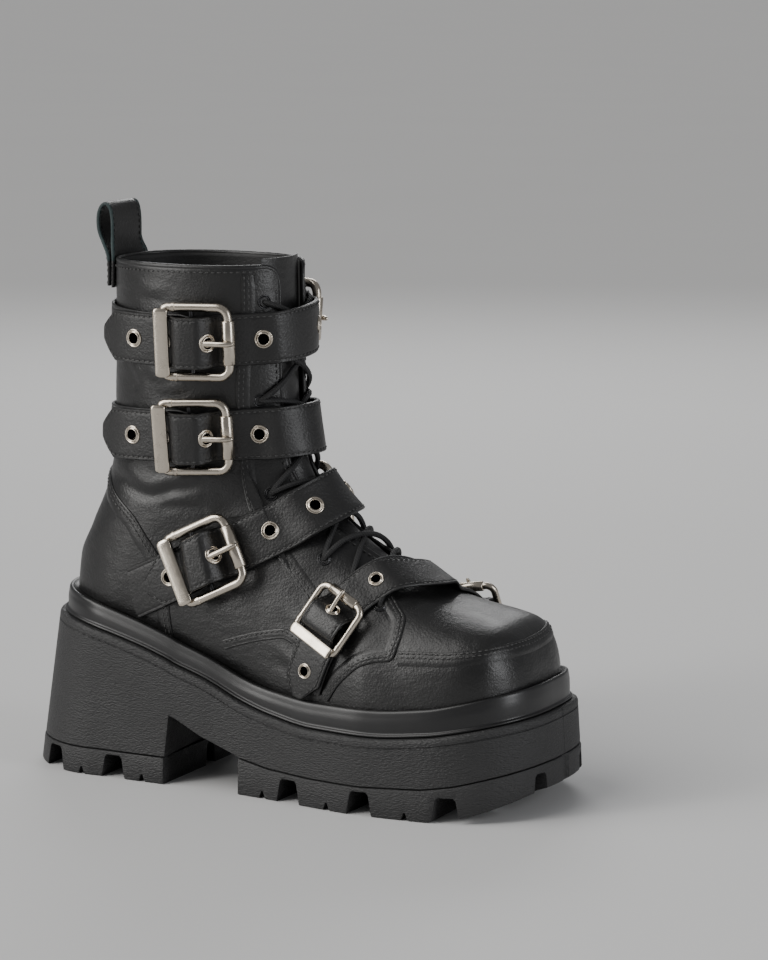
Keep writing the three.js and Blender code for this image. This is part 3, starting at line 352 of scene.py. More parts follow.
    def stitches(self, line: np.ndarray, out: np.ndarray, pitch: float = 3.1, long: float = 2.15) -> None:
        """Adds a row of stitches that lie on a line.

        Args:
            line: Points along the seam.
            out: Direction away from the leather at each of them.
            pitch: Distance from one stitch to the next.
            long: Length of a stitch.
        """
        both = spaced(np.hstack([line, out * 1e-3]), pitch)
        spots, away = both[:, :3], unit(both[:, 3:])
        for a, b, n in zip(spots, spots[1:], away):
            x = unit(b - a)
            y = unit(np.cross(n, x))
            z = np.cross(x, y)
            turn = Matrix([[x[k] * long / 2, y[k] * 0.44, z[k] * 0.42, 0] for k in range(3)] + [[0, 0, 0, 1]])
            centre = Matrix.Translation(metres((a + b) / 2 + n * 0.14))
            place = centre @ Matrix.Scale(MILLIMETRE, 4) @ turn
            bmesh.ops.create_icosphere(self.bm, subdivisions=1, radius=1.0, matrix=place)

    def made(self, finishes: Sequence[bpy.types.Material], crisp: float = SHARP) -> bpy.types.Object:
        """Turns the mesh into an object that rides on the boot's body.

        Args:
            finishes: Its materials.
            crisp: Edges that turn more than this are shaded as edges.

        Returns:
            The new object, at the origin.
        """
        bmesh.ops.recalc_face_normals(self.bm, faces=self.bm.faces[:])
        for face in self.bm.faces:
            face.smooth = True
        for edge in self.bm.edges:
            edge.smooth = len(edge.link_faces) != 2 or edge.calc_face_angle(0) < crisp
        mesh = bpy.data.meshes.new(self.name)
        self.bm.to_mesh(mesh)
        self.bm.free()
        for finish in finishes:
            mesh.materials.append(finish)
        thing = placed(self.name, mesh)
        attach(thing, "boot")
        return thing


def placed(name: str, data: bpy.types.ID, spot: Any = (0, 0, 0), turn: Any = (0, 0, 0)) -> bpy.types.Object:
    """A new object of the scene."""
    thing = bpy.data.objects.new(name, data)
    thing.location, thing.rotation_euler = spot, turn
    bpy.context.scene.collection.objects.link(thing)
    return thing


def moved(points: np.ndarray, place: Matrix) -> np.ndarray:
    """The points carried by a matrix."""
    m = np.array(place)
    return points @ m[:3, :3].T + m[:3, 3]


def circle(radius: float, sides: int) -> np.ndarray:
    """An outline of even points round a circle."""
    turn = np.linspace(0, 2 * np.pi, sides, endpoint=False)
    return radius * np.stack([np.cos(turn), np.sin(turn)], axis=1)


def superellipse(half_wide: float, half_high: float, sides: int, power: float = 3.0) -> np.ndarray:
    """An outline between an oval and a rounded box."""
    turn = np.linspace(0, 2 * np.pi, sides, endpoint=False)
    c, s = np.cos(turn), np.sin(turn)
    return np.stack([
        half_wide * np.sign(c) * np.abs(c) ** (2 / power), half_high * np.sign(s) * np.abs(s) ** (2 / power)
    ], axis=1)


def basis(x: np.ndarray, y: np.ndarray, z: np.ndarray, place: np.ndarray) -> Matrix:
    """A matrix from three directions and a place, in boot millimetres."""
    return Matrix([[x[k], y[k], z[k], place[k]] for k in range(3)] + [[0, 0, 0, 1]])


def carried_guides(ahead: np.ndarray) -> np.ndarray:
    """Directions beside a path that turn as little as they can along it."""
    first = np.cross(ahead[0], (0.0, 0.0, 1.0))
    if np.linalg.norm(first) < 0.1:
        first = np.cross(ahead[0], (0.0, 1.0, 0.0))
    guides = [unit(first)]
    for way in ahead[1:]:
        last = guides[-1]
        guides.append(unit(last - way * np.dot(last, way)))
    return np.array(guides)


def finished(thing: bpy.types.Object, slot: str, *nodes: str) -> bpy.types.Object:
    """Hides the frame's solids that the piece stands for."""
    if nodes:
        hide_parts(*nodes)
    return thing


# ---------------------------------------------------------------- finishes


class Sock:
    """A shader socket that takes part in sums."""

    def __init__(self, kit: "NodeKit", socket: bpy.types.NodeSocket) -> None:
        """Keeps the socket and the tree that it is in."""
        self.kit, self.socket = kit, socket

    def _maths(self, kind: str, *values: Any) -> "Sock":
        """A new Math node over the values."""
        return self.kit.add("ShaderNodeMath", {"operation": kind}, dict(enumerate(values)))

    def __add__(self, other: Any) -> "Sock":
        """This plus the other."""
        return self._maths("ADD", self, other)

    def __mul__(self, other: Any) -> "Sock":
        """This times the other."""
        return self._maths("MULTIPLY", self, other)


class NodeKit:
    """One material's node tree."""

    def __init__(self, name: str) -> None:
        """Starts a material with its surface shader."""
        self.material = bpy.data.materials.new(name)
        self.material.use_nodes = True
        self.tree = self.material.node_tree
        self.tree.nodes.clear()
        self.shader = self.tree.nodes.new("ShaderNodeBsdfPrincipled")
        end = self.tree.nodes.new("ShaderNodeOutputMaterial")
        self.tree.links.new(self.shader.outputs[0], end.inputs[0])

    def add(self, kind: str, settings: dict[str, Any], inputs: dict[Any, Any], output: Any = 0) -> Sock:
        """Adds a node.

        Args:
            kind: The node's type.
            settings: Its own settings, set first.
            inputs: Values or sockets for its inputs, by name or number.
            output: The output that is wanted.

        Returns:
            The wrapped output.
        """
        node = self.tree.nodes.new(kind)
        for key, value in settings.items():
            setattr(node, key, value)
        self.feed(node, inputs)
        return Sock(self, node.outputs[output])

    def feed(self, node: bpy.types.Node, inputs: dict[Any, Any]) -> None:
        """Gives a node's inputs their values or links."""
        for key, value in inputs.items():
            if isinstance(value, Sock):
                self.tree.links.new(value.socket, node.inputs[key])
            else:
                node.inputs[key].default_value = value

    def place(self, stretch: tuple[float, float, float] = (1, 1, 1)) -> Sock:
        """The object's own coordinates, stretched."""
        spot = self.add("ShaderNodeTexCoord", {}, {}, "Object")
        if stretch == (1, 1, 1):
            return spot
        return self.add("ShaderNodeMapping", {}, {"Vector": spot, "Scale": stretch})

    def noise(self, spot: Sock, scale: float, detail: float = 3, roughness: float = 0.5) -> Sock:
        """Soft noise from 0 to 1."""
        return self.add(
            "ShaderNodeTexNoise", {}, {"Vector": spot, "Scale": scale, "Detail": detail, "Roughness": roughness}
        )

    def cells(self, spot: Sock, scale: float, feature: str = "F1") -> Sock:
        """Distance in a field of cells."""
        return self.add("ShaderNodeTexVoronoi", {"feature": feature}, {"Vector": spot, "Scale": scale}, "Distance")

    def blend(self, share: Sock, low: tuple, high: tuple) -> Sock:
        """A colour between two."""
        return self.add(
            "ShaderNodeMix", {"data_type": "RGBA"}, {0: share, 6: (*low, 1), 7: (*high, 1)}, 2
        )

    def spread(self, value: Sock, low: float, high: float, to_low: float, to_high: float) -> Sock:
        """A value's range mapped onto another, held at its ends."""
        return self.add(
            "ShaderNodeMapRange", {},
            {"Value": value, "From Min": low, "From Max": high, "To Min": to_low, "To Max": to_high},
        )

    def bump(self, height: Sock, strength: float, depth: float, under: Sock | None = None) -> Sock:
        """A normal raised by a height, over another normal if given."""
        inputs: dict[Any, Any] = {"Height": height, "Strength": strength, "Distance": depth}
        if under:
            inputs["Normal"] = under
        return self.add("ShaderNodeBump", {}, inputs)

    def done(self, **inputs: Any) -> bpy.types.Material:
        """Feeds the surface shader and returns the material."""
        self.feed(self.shader, {key.replace("_", " "): value for key, value in inputs.items()})
        return self.material


@dataclass(frozen=True)
class Leather:
    """Smooth dyed leather with a fine grain and soft creasing."""

    name: str
    dark: tuple[float, float, float] = (0.0035, 0.0035, 0.0037)
    light: tuple[float, float, float] = (0.008, 0.0078, 0.0078)
    gloss: tuple[float, float] = (0.33, 0.5)
    grain: float = 900.0
    grain_depth: float = 0.00018
    crease: float = 75.0
    crease_depth: float = 0.0009
    coat: float = 0.06

    def material(self) -> bpy.types.Material:
        """Builds the material."""
        kit = NodeKit(self.name)
        spot = kit.place()
        cloud = kit.noise(spot, 38, 4, 0.55)
        fine = kit.noise(spot, 900, 2, 0.5)
        pores = kit.cells(spot, self.grain)
        folds = kit.noise(kit.place((1, 1, 1.8)), self.crease, 5, 0.6)
        valleys = kit.spread(folds, 0.3, 0.7, 0, 1)
        height = pores * 0.6 + fine * 0.5
        soft = kit.bump(valleys, 0.27, self.crease_depth)
        return kit.done(
            Base_Color=kit.blend(cloud, self.dark, self.light),
            Roughness=kit.spread(cloud + fine * 0.25, 0.35, 0.85, *self.gloss),
            Normal=kit.bump(height, 0.75, self.grain_depth, soft),
            Specular_IOR_Level=0.55,
            Coat_Weight=self.coat,
            Coat_Roughness=0.28,
        )


@dataclass(frozen=True)
class Rubber:
    """Moulded rubber, pebbled or smooth."""

    name: str
    dark: tuple[float, float, float] = (0.011, 0.011, 0.0115)
    light: tuple[float, float, float] = (0.026, 0.026, 0.0265)
    gloss: tuple[float, float] = (0.46, 0.64)
    pebble: float = 1150.0
    pebble_depth: float = 0.0006
    strength: float = 1.0

    def material(self) -> bpy.types.Material:
        """Builds the material."""
        kit = NodeKit(self.name)
        spot = kit.place((0.6, 0.6, 1.7))
        cloud = kit.noise(kit.place(), 22, 4, 0.6)
        pebbles = kit.cells(spot, self.pebble, "SMOOTH_F1")
        streaks = kit.noise(spot, self.pebble * 0.5, 4, 0.65)
        return kit.done(
            Base_Color=kit.blend(cloud, self.dark, self.light),
            Roughness=kit.spread(cloud, 0.3, 0.7, *self.gloss),
            Normal=kit.bump(pebbles * 0.6 + streaks * 0.8, self.strength, self.pebble_depth),
            Specular_IOR_Level=0.5,
        )


@dataclass(frozen=True)
class Metal:
    """Plated metal with a satin hand and small marks."""

    name: str
    base: tuple[float, float, float] = (0.56, 0.505, 0.43)
    dull: tuple[float, float, float] = (0.36, 0.325, 0.275)
    gloss: tuple[float, float] = (0.17, 0.31)

    def material(self) -> bpy.types.Material:
        """Builds the material."""
        kit = NodeKit(self.name)
        spot = kit.place()
        cloud = kit.noise(spot, 160, 4, 0.6)
        marks = kit.noise(kit.place((1, 1, 9)), 700, 3, 0.6)
        return kit.done(
            Base_Color=kit.blend(kit.spread(cloud, 0.55, 0.95, 0, 1), self.base, self.dull),
            Metallic=1.0,
            Roughness=kit.spread(cloud + marks * 0.6, 0.5, 1.1, *self.gloss),
            Normal=kit.bump(marks, 0.05, 0.00002),
        )


@dataclass(frozen=True)
class Cloth:
    """Cord, thread, tape or lining cloth with a visible weave."""

    name: str
    dark: tuple[float, float, float] = (0.006, 0.006, 0.0063)
    light: tuple[float, float, float] = (0.02, 0.02, 0.021)
    weave: float = 1500.0
    depth: float = 0.0002
    rough: tuple[float, float] = (0.62, 0.85)
    sheen: float = 0.5

    def material(self) -> bpy.types.Material:
        """Builds the material."""
        kit = NodeKit(self.name)
        spot = kit.place()
        threads = kit.add(
            "ShaderNodeTexWave", {"bands_direction": "DIAGONAL"},
            {"Vector": spot, "Scale": self.weave / 5, "Distortion": 1.5, "Detail": 1.0}, "Fac",
        )
        cloud = kit.noise(spot, 260, 3, 0.6)
        return kit.done(
            Base_Color=kit.blend(threads * 0.5 + cloud * 0.5, self.dark, self.light),
            Roughness=kit.spread(cloud, 0.3, 0.7, *self.rough),
            Normal=kit.bump(threads + cloud * 0.4, 0.6, self.depth),
            Specular_IOR_Level=self.sheen,
        )


@dataclass(frozen=True)
class Paint:
    """The plain studio floor."""

    name: str
    base: tuple[float, float, float] = (0.60, 0.60, 0.60)

    def material(self) -> bpy.types.Material:
        """Builds the material."""
        kit = NodeKit(self.name)
        cloud = kit.noise(kit.place(), 3, 3)
        low = tuple(c * 0.97 for c in self.base)
        return kit.done(Base_Color=kit.blend(cloud, low, self.base), Roughness=0.75)


class Finishes:
    """Every finish that the boot uses."""

    def __init__(self) -> None:
        """Mixes them all."""
        self.upper = Leather("upper leather").material()
        self.strap = Leather(
            "strap leather", dark=(0.0042, 0.0042, 0.0044), light=(0.0095, 0.0092, 0.0092), gloss=(0.37, 0.54),
            grain=750, grain_depth=0.00024, crease=160, crease_depth=0.0004, coat=0.05,
        ).material()
        self.lining = Leather(
            "lining", dark=(0.008, 0.008, 0.008), light=(0.015, 0.015, 0.015), gloss=(0.55, 0.75), crease=40, coat=0.0,
        ).material()
        self.block = Rubber("pebbled rubber").material()
        self.rim = Rubber(
            "smooth rubber", dark=(0.009, 0.009, 0.0095), light=(0.014, 0.014, 0.0145), gloss=(0.3, 0.42),
            pebble=500, pebble_depth=0.00004, strength=0.3,
        ).material()
        self.nickel = Metal("satin nickel").material()
        # dark metal of the lace eyelets and zip, and painted shade on the buckles' middle bars
        self.black_metal_and_bar_shade = Metal(
            "blackened metal and painted bar shade", base=(0.05, 0.05, 0.052), dull=(0.02, 0.02, 0.021), gloss=(0.25, 0.4)
        ).material()
        self.lace = Cloth("lace cord").material()
        self.thread = Cloth(
            "thread", light=(0.06, 0.059, 0.058), dark=(0.025, 0.025, 0.025), rough=(0.4, 0.6)
        ).material()
        self.tape = Cloth("zip tape", weave=2600, depth=0.0001).material()
        # painted shade: near-black matte discs that stand in for the shadow inside the strap's eyelet holes
        self.painted_hole_shade = Cloth(
            "eyelet hole painted shade", dark=(0.0006, 0.0006, 0.0006), light=(0.0015, 0.0015, 0.0015), rough=(0.9, 1.0), sheen=0.0
        ).material()
        self.teal = Leather(
            "dyed cut edge", dark=(0.006, 0.011, 0.0115), light=(0.02, 0.045, 0.046), gloss=(0.5, 0.7), coat=0.0,
        ).material()


# ---------------------------------------------------------------- the upper's form


class Last:
    """The outer face of the upper as a form that pieces are laid on."""

    def __init__(self) -> None:
        """Reads the section table and builds the face that rays and snaps meet."""
        self.table = Table([(index, *row) for index, row in enumerate(SECTIONS)])
        u = np.linspace(0, len(SECTIONS) - 1, 241)
        angle = np.linspace(0, 2 * np.pi, 240, endpoint=False)
        grid = self.point(u[:, None], angle[None, :])
        rows, columns = grid.shape[:2]
        row, column = np.meshgrid(np.arange(rows - 1), np.arange(columns), indexing="ij")
        after = (column + 1) % columns
        faces = np.stack(
            [row * columns + column, row * columns + after, (row + 1) * columns + after, (row + 1) * columns + column],
            axis=-1,
        )
        self.tree = BVHTree.FromPolygons(grid.reshape(-1, 3).tolist(), faces.reshape(-1, 4).tolist())

    def point(self, u: Any, angle: Any) -> np.ndarray:
        """Places on the face: angle 0 on the front ridge, growing to the inner side."""
        u, angle = np.broadcast_arrays(np.asarray(u, dtype=float), np.asarray(angle, dtype=float))
        bx, bz, tx, tz, outer, ridge, inner, widest, low, high = np.moveaxis(self.table.smooth(u), -1, 0)
        along, across = np.cos(angle), np.sin(angle)
        power = 2 / np.where(along > 0, high, low)
        reach = np.where(along > 0, 1 - widest, widest)
        t = widest + np.sign(along) * reach * np.abs(along) ** power
        side = np.where(across > 0, inner, outer)
        y = ridge + (side - ridge) * np.abs(across) ** power
        return np.stack([bx + (tx - bx) * t, y, bz + (tz - bz) * t], axis=-1)

    def off(self, u: Any, angle: Any, out: Any) -> np.ndarray:
        """Places on the face, moved out along its normal."""
        u, angle = np.broadcast_arrays(np.asarray(u, dtype=float), np.asarray(angle, dtype=float))
        u0, u1 = np.maximum(0, u - 0.04), np.minimum(len(SECTIONS) - 1, u + 0.04)
        forward = self.point(u1, angle) - self.point(u0, angle)
        around = self.point(u, angle + 0.03) - self.point(u, angle - 0.03)
        normal = unit(np.cross(around, forward))
        return self.point(u, angle) + normal * np.asarray(out, dtype=float)[..., None]

    def angle_across(self, u: Any, across: Any) -> np.ndarray:
        """The angle where the face lies a distance across from its ridge."""
        columns = self.table.smooth(np.asarray(u, dtype=float))
        outer, ridge, inner, high = columns[..., 4], columns[..., 5], columns[..., 6], columns[..., 9]
        side = np.where(np.asarray(across) > 0, inner, outer)
        part = np.minimum(1, np.abs(across / (side - ridge)))
        return np.sign(across) * np.arcsin(part ** (high / 2))

    def snap(self, points: np.ndarray) -> tuple[np.ndarray, np.ndarray]:
        """The nearest places on the face, and the directions away from it."""
        flat = np.asarray(points, dtype=float).reshape(-1, 3)
        spots, ways = [], []
        for spot in flat:
            place, normal, _, _ = self.tree.find_nearest(Vector(spot))
            inside = self.inside_of(spot)
            normal = -normal if normal.dot(Vector(spot - inside)) < 0 else normal
            spots.append(place)
            ways.append(normal)
        return np.array(spots).reshape(np.shape(points)), np.array(ways).reshape(np.shape(points))

    @staticmethod
    def inside_of(spot: np.ndarray) -> np.ndarray:
        """A place inside the boot that a spot on its face looks away from."""
        if spot[2] > 150:
            return np.array([90.0, 0.0, spot[2]])
        if spot[0] > 150:
            return np.array([min(spot[0], 235.0), 1.0, 62.0])
        return np.array([max(spot[0], 55.0) * 0.6 + 40, 0.0, 100.0])

    def meet(self, start: np.ndarray, goal: np.ndarray) -> np.ndarray:
        """Where a ray from outside first meets the face."""
        way = Vector(goal - start).normalized()
        place, _, _, _ = self.tree.ray_cast(Vector(start), way)
        return np.array(place) if place is not None else np.asarray(goal, dtype=float)

    @staticmethod
    def throat_half(u: Any) -> np.ndarray:
        """Half width of the lace opening."""
        return 8 + 5 * smoothstep(u, THROAT_U, THROAT_U + 3)


def edge_of_plan(x: np.ndarray, side: Side, plan: Table = Table(PLAN)) -> np.ndarray:
    """The sole's edge on one side at stations along it."""
    heel = np.clip((HEEL_X + HEEL_ROUND - x) / HEEL_ROUND, 0, 1)
    toe = np.clip((x - TOE_X + TOE_ROUND) / TOE_ROUND, 0, 1)
    rounding = (1 - heel**HEEL_POWER) ** (1 / HEEL_POWER) * (1 - toe**TOE_POWER) ** (1 / TOE_POWER)
    swing = TOE_SWING * np.maximum(0, (x - 150) / (TOE_X - 150)) ** 1.2
    width = plan.smooth(x)[..., 0 if side is Side.OUTER else 1]
    return swing + side.value * width * rounding


# ---------------------------------------------------------------- sole


@dataclass
class Sole:
    """The rubber block, its lugged treads and the glossy band round the foot."""

    finishes: Finishes
    ledge: float = 4.0
    heel_lean: float = 0.16
    side_lean: float = 0.06
    tread_depth: float = 12.0
    gap: float = 0.3
    profile: Table = field(default_factory=lambda: Table(PROFILE))

    def top(self, x: Any) -> np.ndarray:
        """Height of the block's top."""
        return self.profile.smooth(x)[..., 1]

    def rim(self, x: Any) -> np.ndarray:
        """Height of the band's top."""
        return self.top(x) + self.profile.smooth(x)[..., 2]

    def under(self, x: Any) -> np.ndarray:
        """Height of the block's underside."""
        return self.profile.straight(x)[..., 0]

    def ground(self, x: Any) -> np.ndarray:
        """Height of the tread's wearing face."""
        return self.profile.straight(x)[..., 3]

    def ceiling(self, x: Any) -> np.ndarray:
        """Height of the tread's top."""
        return self.under(x) - self.gap

    def flare(self, x: np.ndarray, z: np.ndarray) -> np.ndarray:
        """How far the wall stands outside the rim."""
        part = np.maximum(0, 1 - x / (HEEL_X + HEEL_ROUND))
        lean = self.side_lean + (self.heel_lean - self.side_lean) * part
        return self.ledge + lean * np.maximum(0, self.top(x) - z)

    @staticmethod
    def stations(start: float, end: float, step: float = 2.4, marks: Sequence[float] = ()) -> np.ndarray:
        """Places along the foot, close together where the plan rounds off."""
        turns = np.radians(np.concatenate([[0.05, 0.3, 1.5, 4], np.linspace(7, 90, 18)]))
        heel = HEEL_X + HEEL_ROUND * (1 - np.cos(turns))
        toe = TOE_X - TOE_ROUND * (1 - np.cos(turns))
        middle = np.arange(HEEL_X + HEEL_ROUND + 1.5, TOE_X - TOE_ROUND - 1, step)
        middle = [m for m in middle if all(abs(m - mark) > 0.8 for mark in marks)]
        every = np.unique(np.concatenate([heel, middle, toe, marks, [start, end]]))
        return every[(every >= start) & (every <= end)]

    @staticmethod
    def edge(x: np.ndarray, side: Side, grow: np.ndarray) -> np.ndarray:
        """Plan points of the edge, moved straight out of it."""
        rise = (edge_of_plan(x + 0.05, side) - edge_of_plan(x - 0.05, side)) / 0.1
        away = unit(np.stack([-side.value * rise, np.full_like(rise, float(side.value))], axis=-1))
        return np.stack([x + away[..., 0] * grow, edge_of_plan(x, side) + away[..., 1] * grow], axis=-1)

    def step(self, base: Callable, grow: float, rise: float = 0.0) -> tuple[Callable, Callable]:
        """One step up a wall: set off from the flare at a base height, and raised over that height."""
        return (lambda s: self.flare(s, base(s)) + grow), (lambda s: base(s) + rise)

    def slab(self, x: np.ndarray, walls: list[tuple[Callable, Callable]], work: Workpiece) -> None:
        """Adds a closed layer of the sole.

        Args:
            x: Stations from heel to toe.
            walls: From the bottom up, how far out and how high the wall is at a station.
            work: The piece that it is added to.
        """
        def wall(side: Side) -> np.ndarray:
            """The wall's points on one side, stations by steps up it."""
            lines = []
            for grow, height in walls:
                plan = self.edge(x, side, grow(x))
                lines.append(np.concatenate([plan, height(plan[:, 0])[:, None]], axis=1))
            return np.stack(lines, axis=1)

        outer, inner = wall(Side.OUTER), wall(Side.INNER)
        share = np.linspace(0, 1, 9)[1:-1][None, :, None]
        over = outer[:, -1:] * (1 - share) + inner[:, -1:] * share
        beneath = inner[:, :1] * (1 - share) + outer[:, :1] * share
        ring = np.concatenate([outer, over, inner[:, ::-1], beneath], axis=1)
        work.close(work.sheet(ring, around=True))

    def build_block(self) -> None:
        """The block, its wall crossed by one fine moulding line over the lugs and one under the top."""
        x = self.stations(HEEL_X + 1e-5, TOE_X - 1e-5, marks=(BREAST_X - 1, BREAST_X + 1, 104, FORE_X))
        work = Workpiece("sole_block")
        steps = [self.step(self.under, -0.7), self.step(self.under, -0.1, 0.5)]
        for share in (0.15, 0.35, 0.55, 0.75, 0.92):
            steps.append(self.step(
                lambda s, k=share: self.under(s) + 0.5 + (self.top(s) - 5.2 - self.under(s) - 0.5) * k, 0.0
            ))
        for drop, cut in (
            (4.9, 0.0), (4.6, 0.45), (4.2, 0.5), (3.9, 0.05), (2.4, 0.0), (1.5, 0.1), (0.7, 0.45), (0.25, 0.95)
        ):
            steps.append(self.step(lambda s, d=drop: self.top(s) - d, -cut))
        steps += [self.step(self.top, -1.7), self.step(self.top, -5.0, 0.02)]
        self.slab(x, steps, work)
        finished(work.made([self.finishes.block]), "rubber_sole", "platform")

    @staticmethod
    def channel(
        work: Workpiece, start: Sequence[float], end: Sequence[float],
        root: float, mouth: float, depth: float, ground: float,
    ) -> None:
        """Adds a cutter for one channel that opens downwards.

        Args:
            work: The cutters' piece.
            start: Plan place of one end.
            end: Plan place of the other end.
            root: Width at the bottom of the channel.
            mouth: Width below the wearing face.
            depth: Depth from the wearing face.
            ground: Height of the wearing face.
        """
        a, b = np.array([*start, ground], dtype=float), np.array([*end, ground], dtype=float)
        along = unit(b - a)
        away = np.array([-along[1], along[0], 0])
        foot = [(-mouth, -3), (mouth, -3)]
        if root < 3:
            shape = [*foot, (root, depth), (-root, depth)]
        else:
            shape = [*foot, (root, depth - 1.4), (root - 2.6, depth), (2.6 - root, depth), (-root, depth - 1.4)]
        rings = [[p + away * wide / 2 + np.array([0, 0, high]) for wide, high in shape] for p in (a, b)]
        work.close(work.sheet(np.array(rings), around=True))

    def build_tread(self, name: str, node: str, x: np.ndarray, cutters: Workpiece) -> None:
        """A tread layer cut into lugs.

        Args:
            name: The piece's name.
            node: The frame's solid that it stands for.
            x: Stations along the layer.
            cutters: The channels to take out of it.
        """
        work = Workpiece(name)
        self.slab(
            x,
            [
                self.step(self.ground, -1.0), self.step(self.ground, -0.25, 0.3), self.step(self.ground, 0.0, 1.0),
                self.step(self.ceiling, 0.4, -0.9), self.step(self.ceiling, 0.1, -0.2), self.step(self.ceiling, -0.6),
            ],
            work,
        )
        layer = work.made([self.finishes.block])
        knife = cutters.made([self.finishes.block])
        cut = layer.modifiers.new("channels", "BOOLEAN")
        cut.operation, cut.solver, cut.object, cut.use_self = "DIFFERENCE", "EXACT", knife, True
        soft = layer.modifiers.new("edges", "BEVEL")
        soft.width, soft.segments, soft.limit_method, soft.angle_limit = LUG_ROUND, 2, "ANGLE", LUG_BEVEL
        view = bpy.context.evaluated_depsgraph_get()
        mesh = bpy.data.meshes.new_from_object(layer.evaluated_get(view))
        layer.modifiers.clear()
        layer.data = mesh
        bpy.data.objects.remove(knife)
        tidy_edges(mesh)
        finished(layer, "rubber_sole", node)

    def cutters(self, name: str, crossings: Sequence[tuple], notches: Sequence[tuple], spine: tuple) -> Workpiece:
        """The channels across a tread, the small notches in its lugs, and its long channel."""
        work = Workpiece(name)
        for x, slant, ground in crossings:
            self.channel(work, (x - slant, -75), (x + slant, 75), 10, 15, self.tread_depth, ground)
        for x, ground in notches:
            for side in Side:
                edge = float(edge_of_plan(np.array(x), side)) + side.value * 12
                self.channel(work, (x, edge), (x, edge - side.value * 16), 1.0, 6, 4, ground)
        self.channel(work, (spine[0], spine[2]), (spine[1], spine[2]), 7, 10, self.tread_depth - 0.2, 0)
        return work

    def build_treads(self) -> None:
        """Both treads."""
        heel = self.cutters("heel channels", [(16, 0, 0), (54, 0, 0)], [(35, 0), (71, 0)], (16.3, 92, -1))
        self.build_tread("tread_lugs_heel", "tread_heel", self.stations(HEEL_X + 0.01, BREAST_X - 1.4), heel)
        fore = self.cutters(
            "forefoot channels", [(160, 3, 0), (202, 3, 0), (246, 2, 1)], [(142, 0), (181, 0), (224, 0)],
            (120, 246, 1),
        )
        self.channel(fore, (262, -17), (300, -24), 8, 12, self.tread_depth + 4, 6)
        self.channel(fore, (262, 25), (300, 32), 8, 12, self.tread_depth + 4, 6)
        self.build_tread("tread_lugs_forefoot", "tread_forefoot", self.stations(FORE_X, TOE_X - 0.01), fore)

    def band_line(self, x: np.ndarray, grow: float, rise: Callable) -> np.ndarray:
        """A line right round the foot: outer side to the toe, inner side back."""
        halves = []
        for side in Side:
            plan = self.edge(x, side, np.full_like(x, grow))
            halves.append(np.concatenate([plan, rise(plan[:, 0])[:, None]], axis=1))
        return np.concatenate([halves[0], halves[1][::-1]])

    def build_band(self) -> None:
        """The glossy band: a fine bead at its foot, a smooth leaning face and a rounded lip on top."""
        x = self.stations(HEEL_X + 0.01, TOE_X - 0.01)
        low = lambda s: self.top(s) + self.gap
        outline = [
            (-6.0, 0.0, 0), (0.7, 0.0, 0), (1.15, 0.25, 0), (1.3, 0.75, 0), (1.15, 1.25, 0), (0.6, 1.55, 0),
            (0.1, 1.8, 0), (-0.05, 2.3, 0), (0.0, 3.0, 0), (0.0, 0.4, 1), (-0.05, 0.6, 1), (-0.2, 0.8, 1),
            (-0.4, -1.5, 2), (-0.5, -0.6, 2), (-0.65, 0.2, 2), (-0.75, 0.9, 2), (-1.0, 1.6, 2), (-1.5, 2.1, 2),
            (-2.2, 2.25, 2), (-2.9, 2.0, 2), (-3.4, 1.4, 2), (-6.0, 1.2, 2),
        ]

        def line(grow: float, value: float, kind: int) -> np.ndarray:
            """One line of the band's outline: from its foot, a share of its face, or from its top."""
            heights = {
                0: lambda s: low(s) + value,
                1: lambda s: low(s) + (self.rim(s) - low(s)) * value,
                2: lambda s: self.rim(s) + value,
            }
            return self.band_line(x, grow, heights[kind])

        work = Workpiece("rim_glossy_band")
        work.sheet(np.stack([line(*row) for row in outline], axis=1), around=True, along=True)
        finished(work.made([self.finishes.rim], crisp=BAND_SHARP), "rubber_rim", "rim_band", "rim_bead")

    def build(self) -> None:
        """All of the sole."""
        self.build_block()
        self.build_treads()
        self.build_band()


def tidy_edges(mesh: bpy.types.Mesh) -> None:
    """Marks the crisp edges of a cut mesh and shades the rest smooth."""
    bm = bmesh.new()
    bm.from_mesh(mesh)
    bmesh.ops.remove_doubles(bm, verts=bm.verts[:], dist=WELD)
    for face in bm.faces:
        face.smooth = True
    for edge in bm.edges:
        edge.smooth = len(edge.link_faces) != 2 or edge.calc_face_angle(0) < LUG_SHARP
    bm.to_mesh(mesh)
    bm.free()


# ---------------------------------------------------------------- upper


@dataclass(frozen=True)
class Crease:
    """A soft fold in the leather: a trough along a line with a ridge beside it."""

    line: tuple[tuple[float, float, float], ...]
    depth: float = 0.9
    width: float = 3.0
    ridge: float = 0.5


@dataclass(frozen=True)
class Seam:
    """A lapped leather edge along a line, with rows of stitches behind it."""

    line: tuple[tuple[float, float, float], ...]
    lap: int = 1
    rows: tuple[float, ...] = (1.6, 3.9)
    high: float = 0.75
    wide: float = 8.5


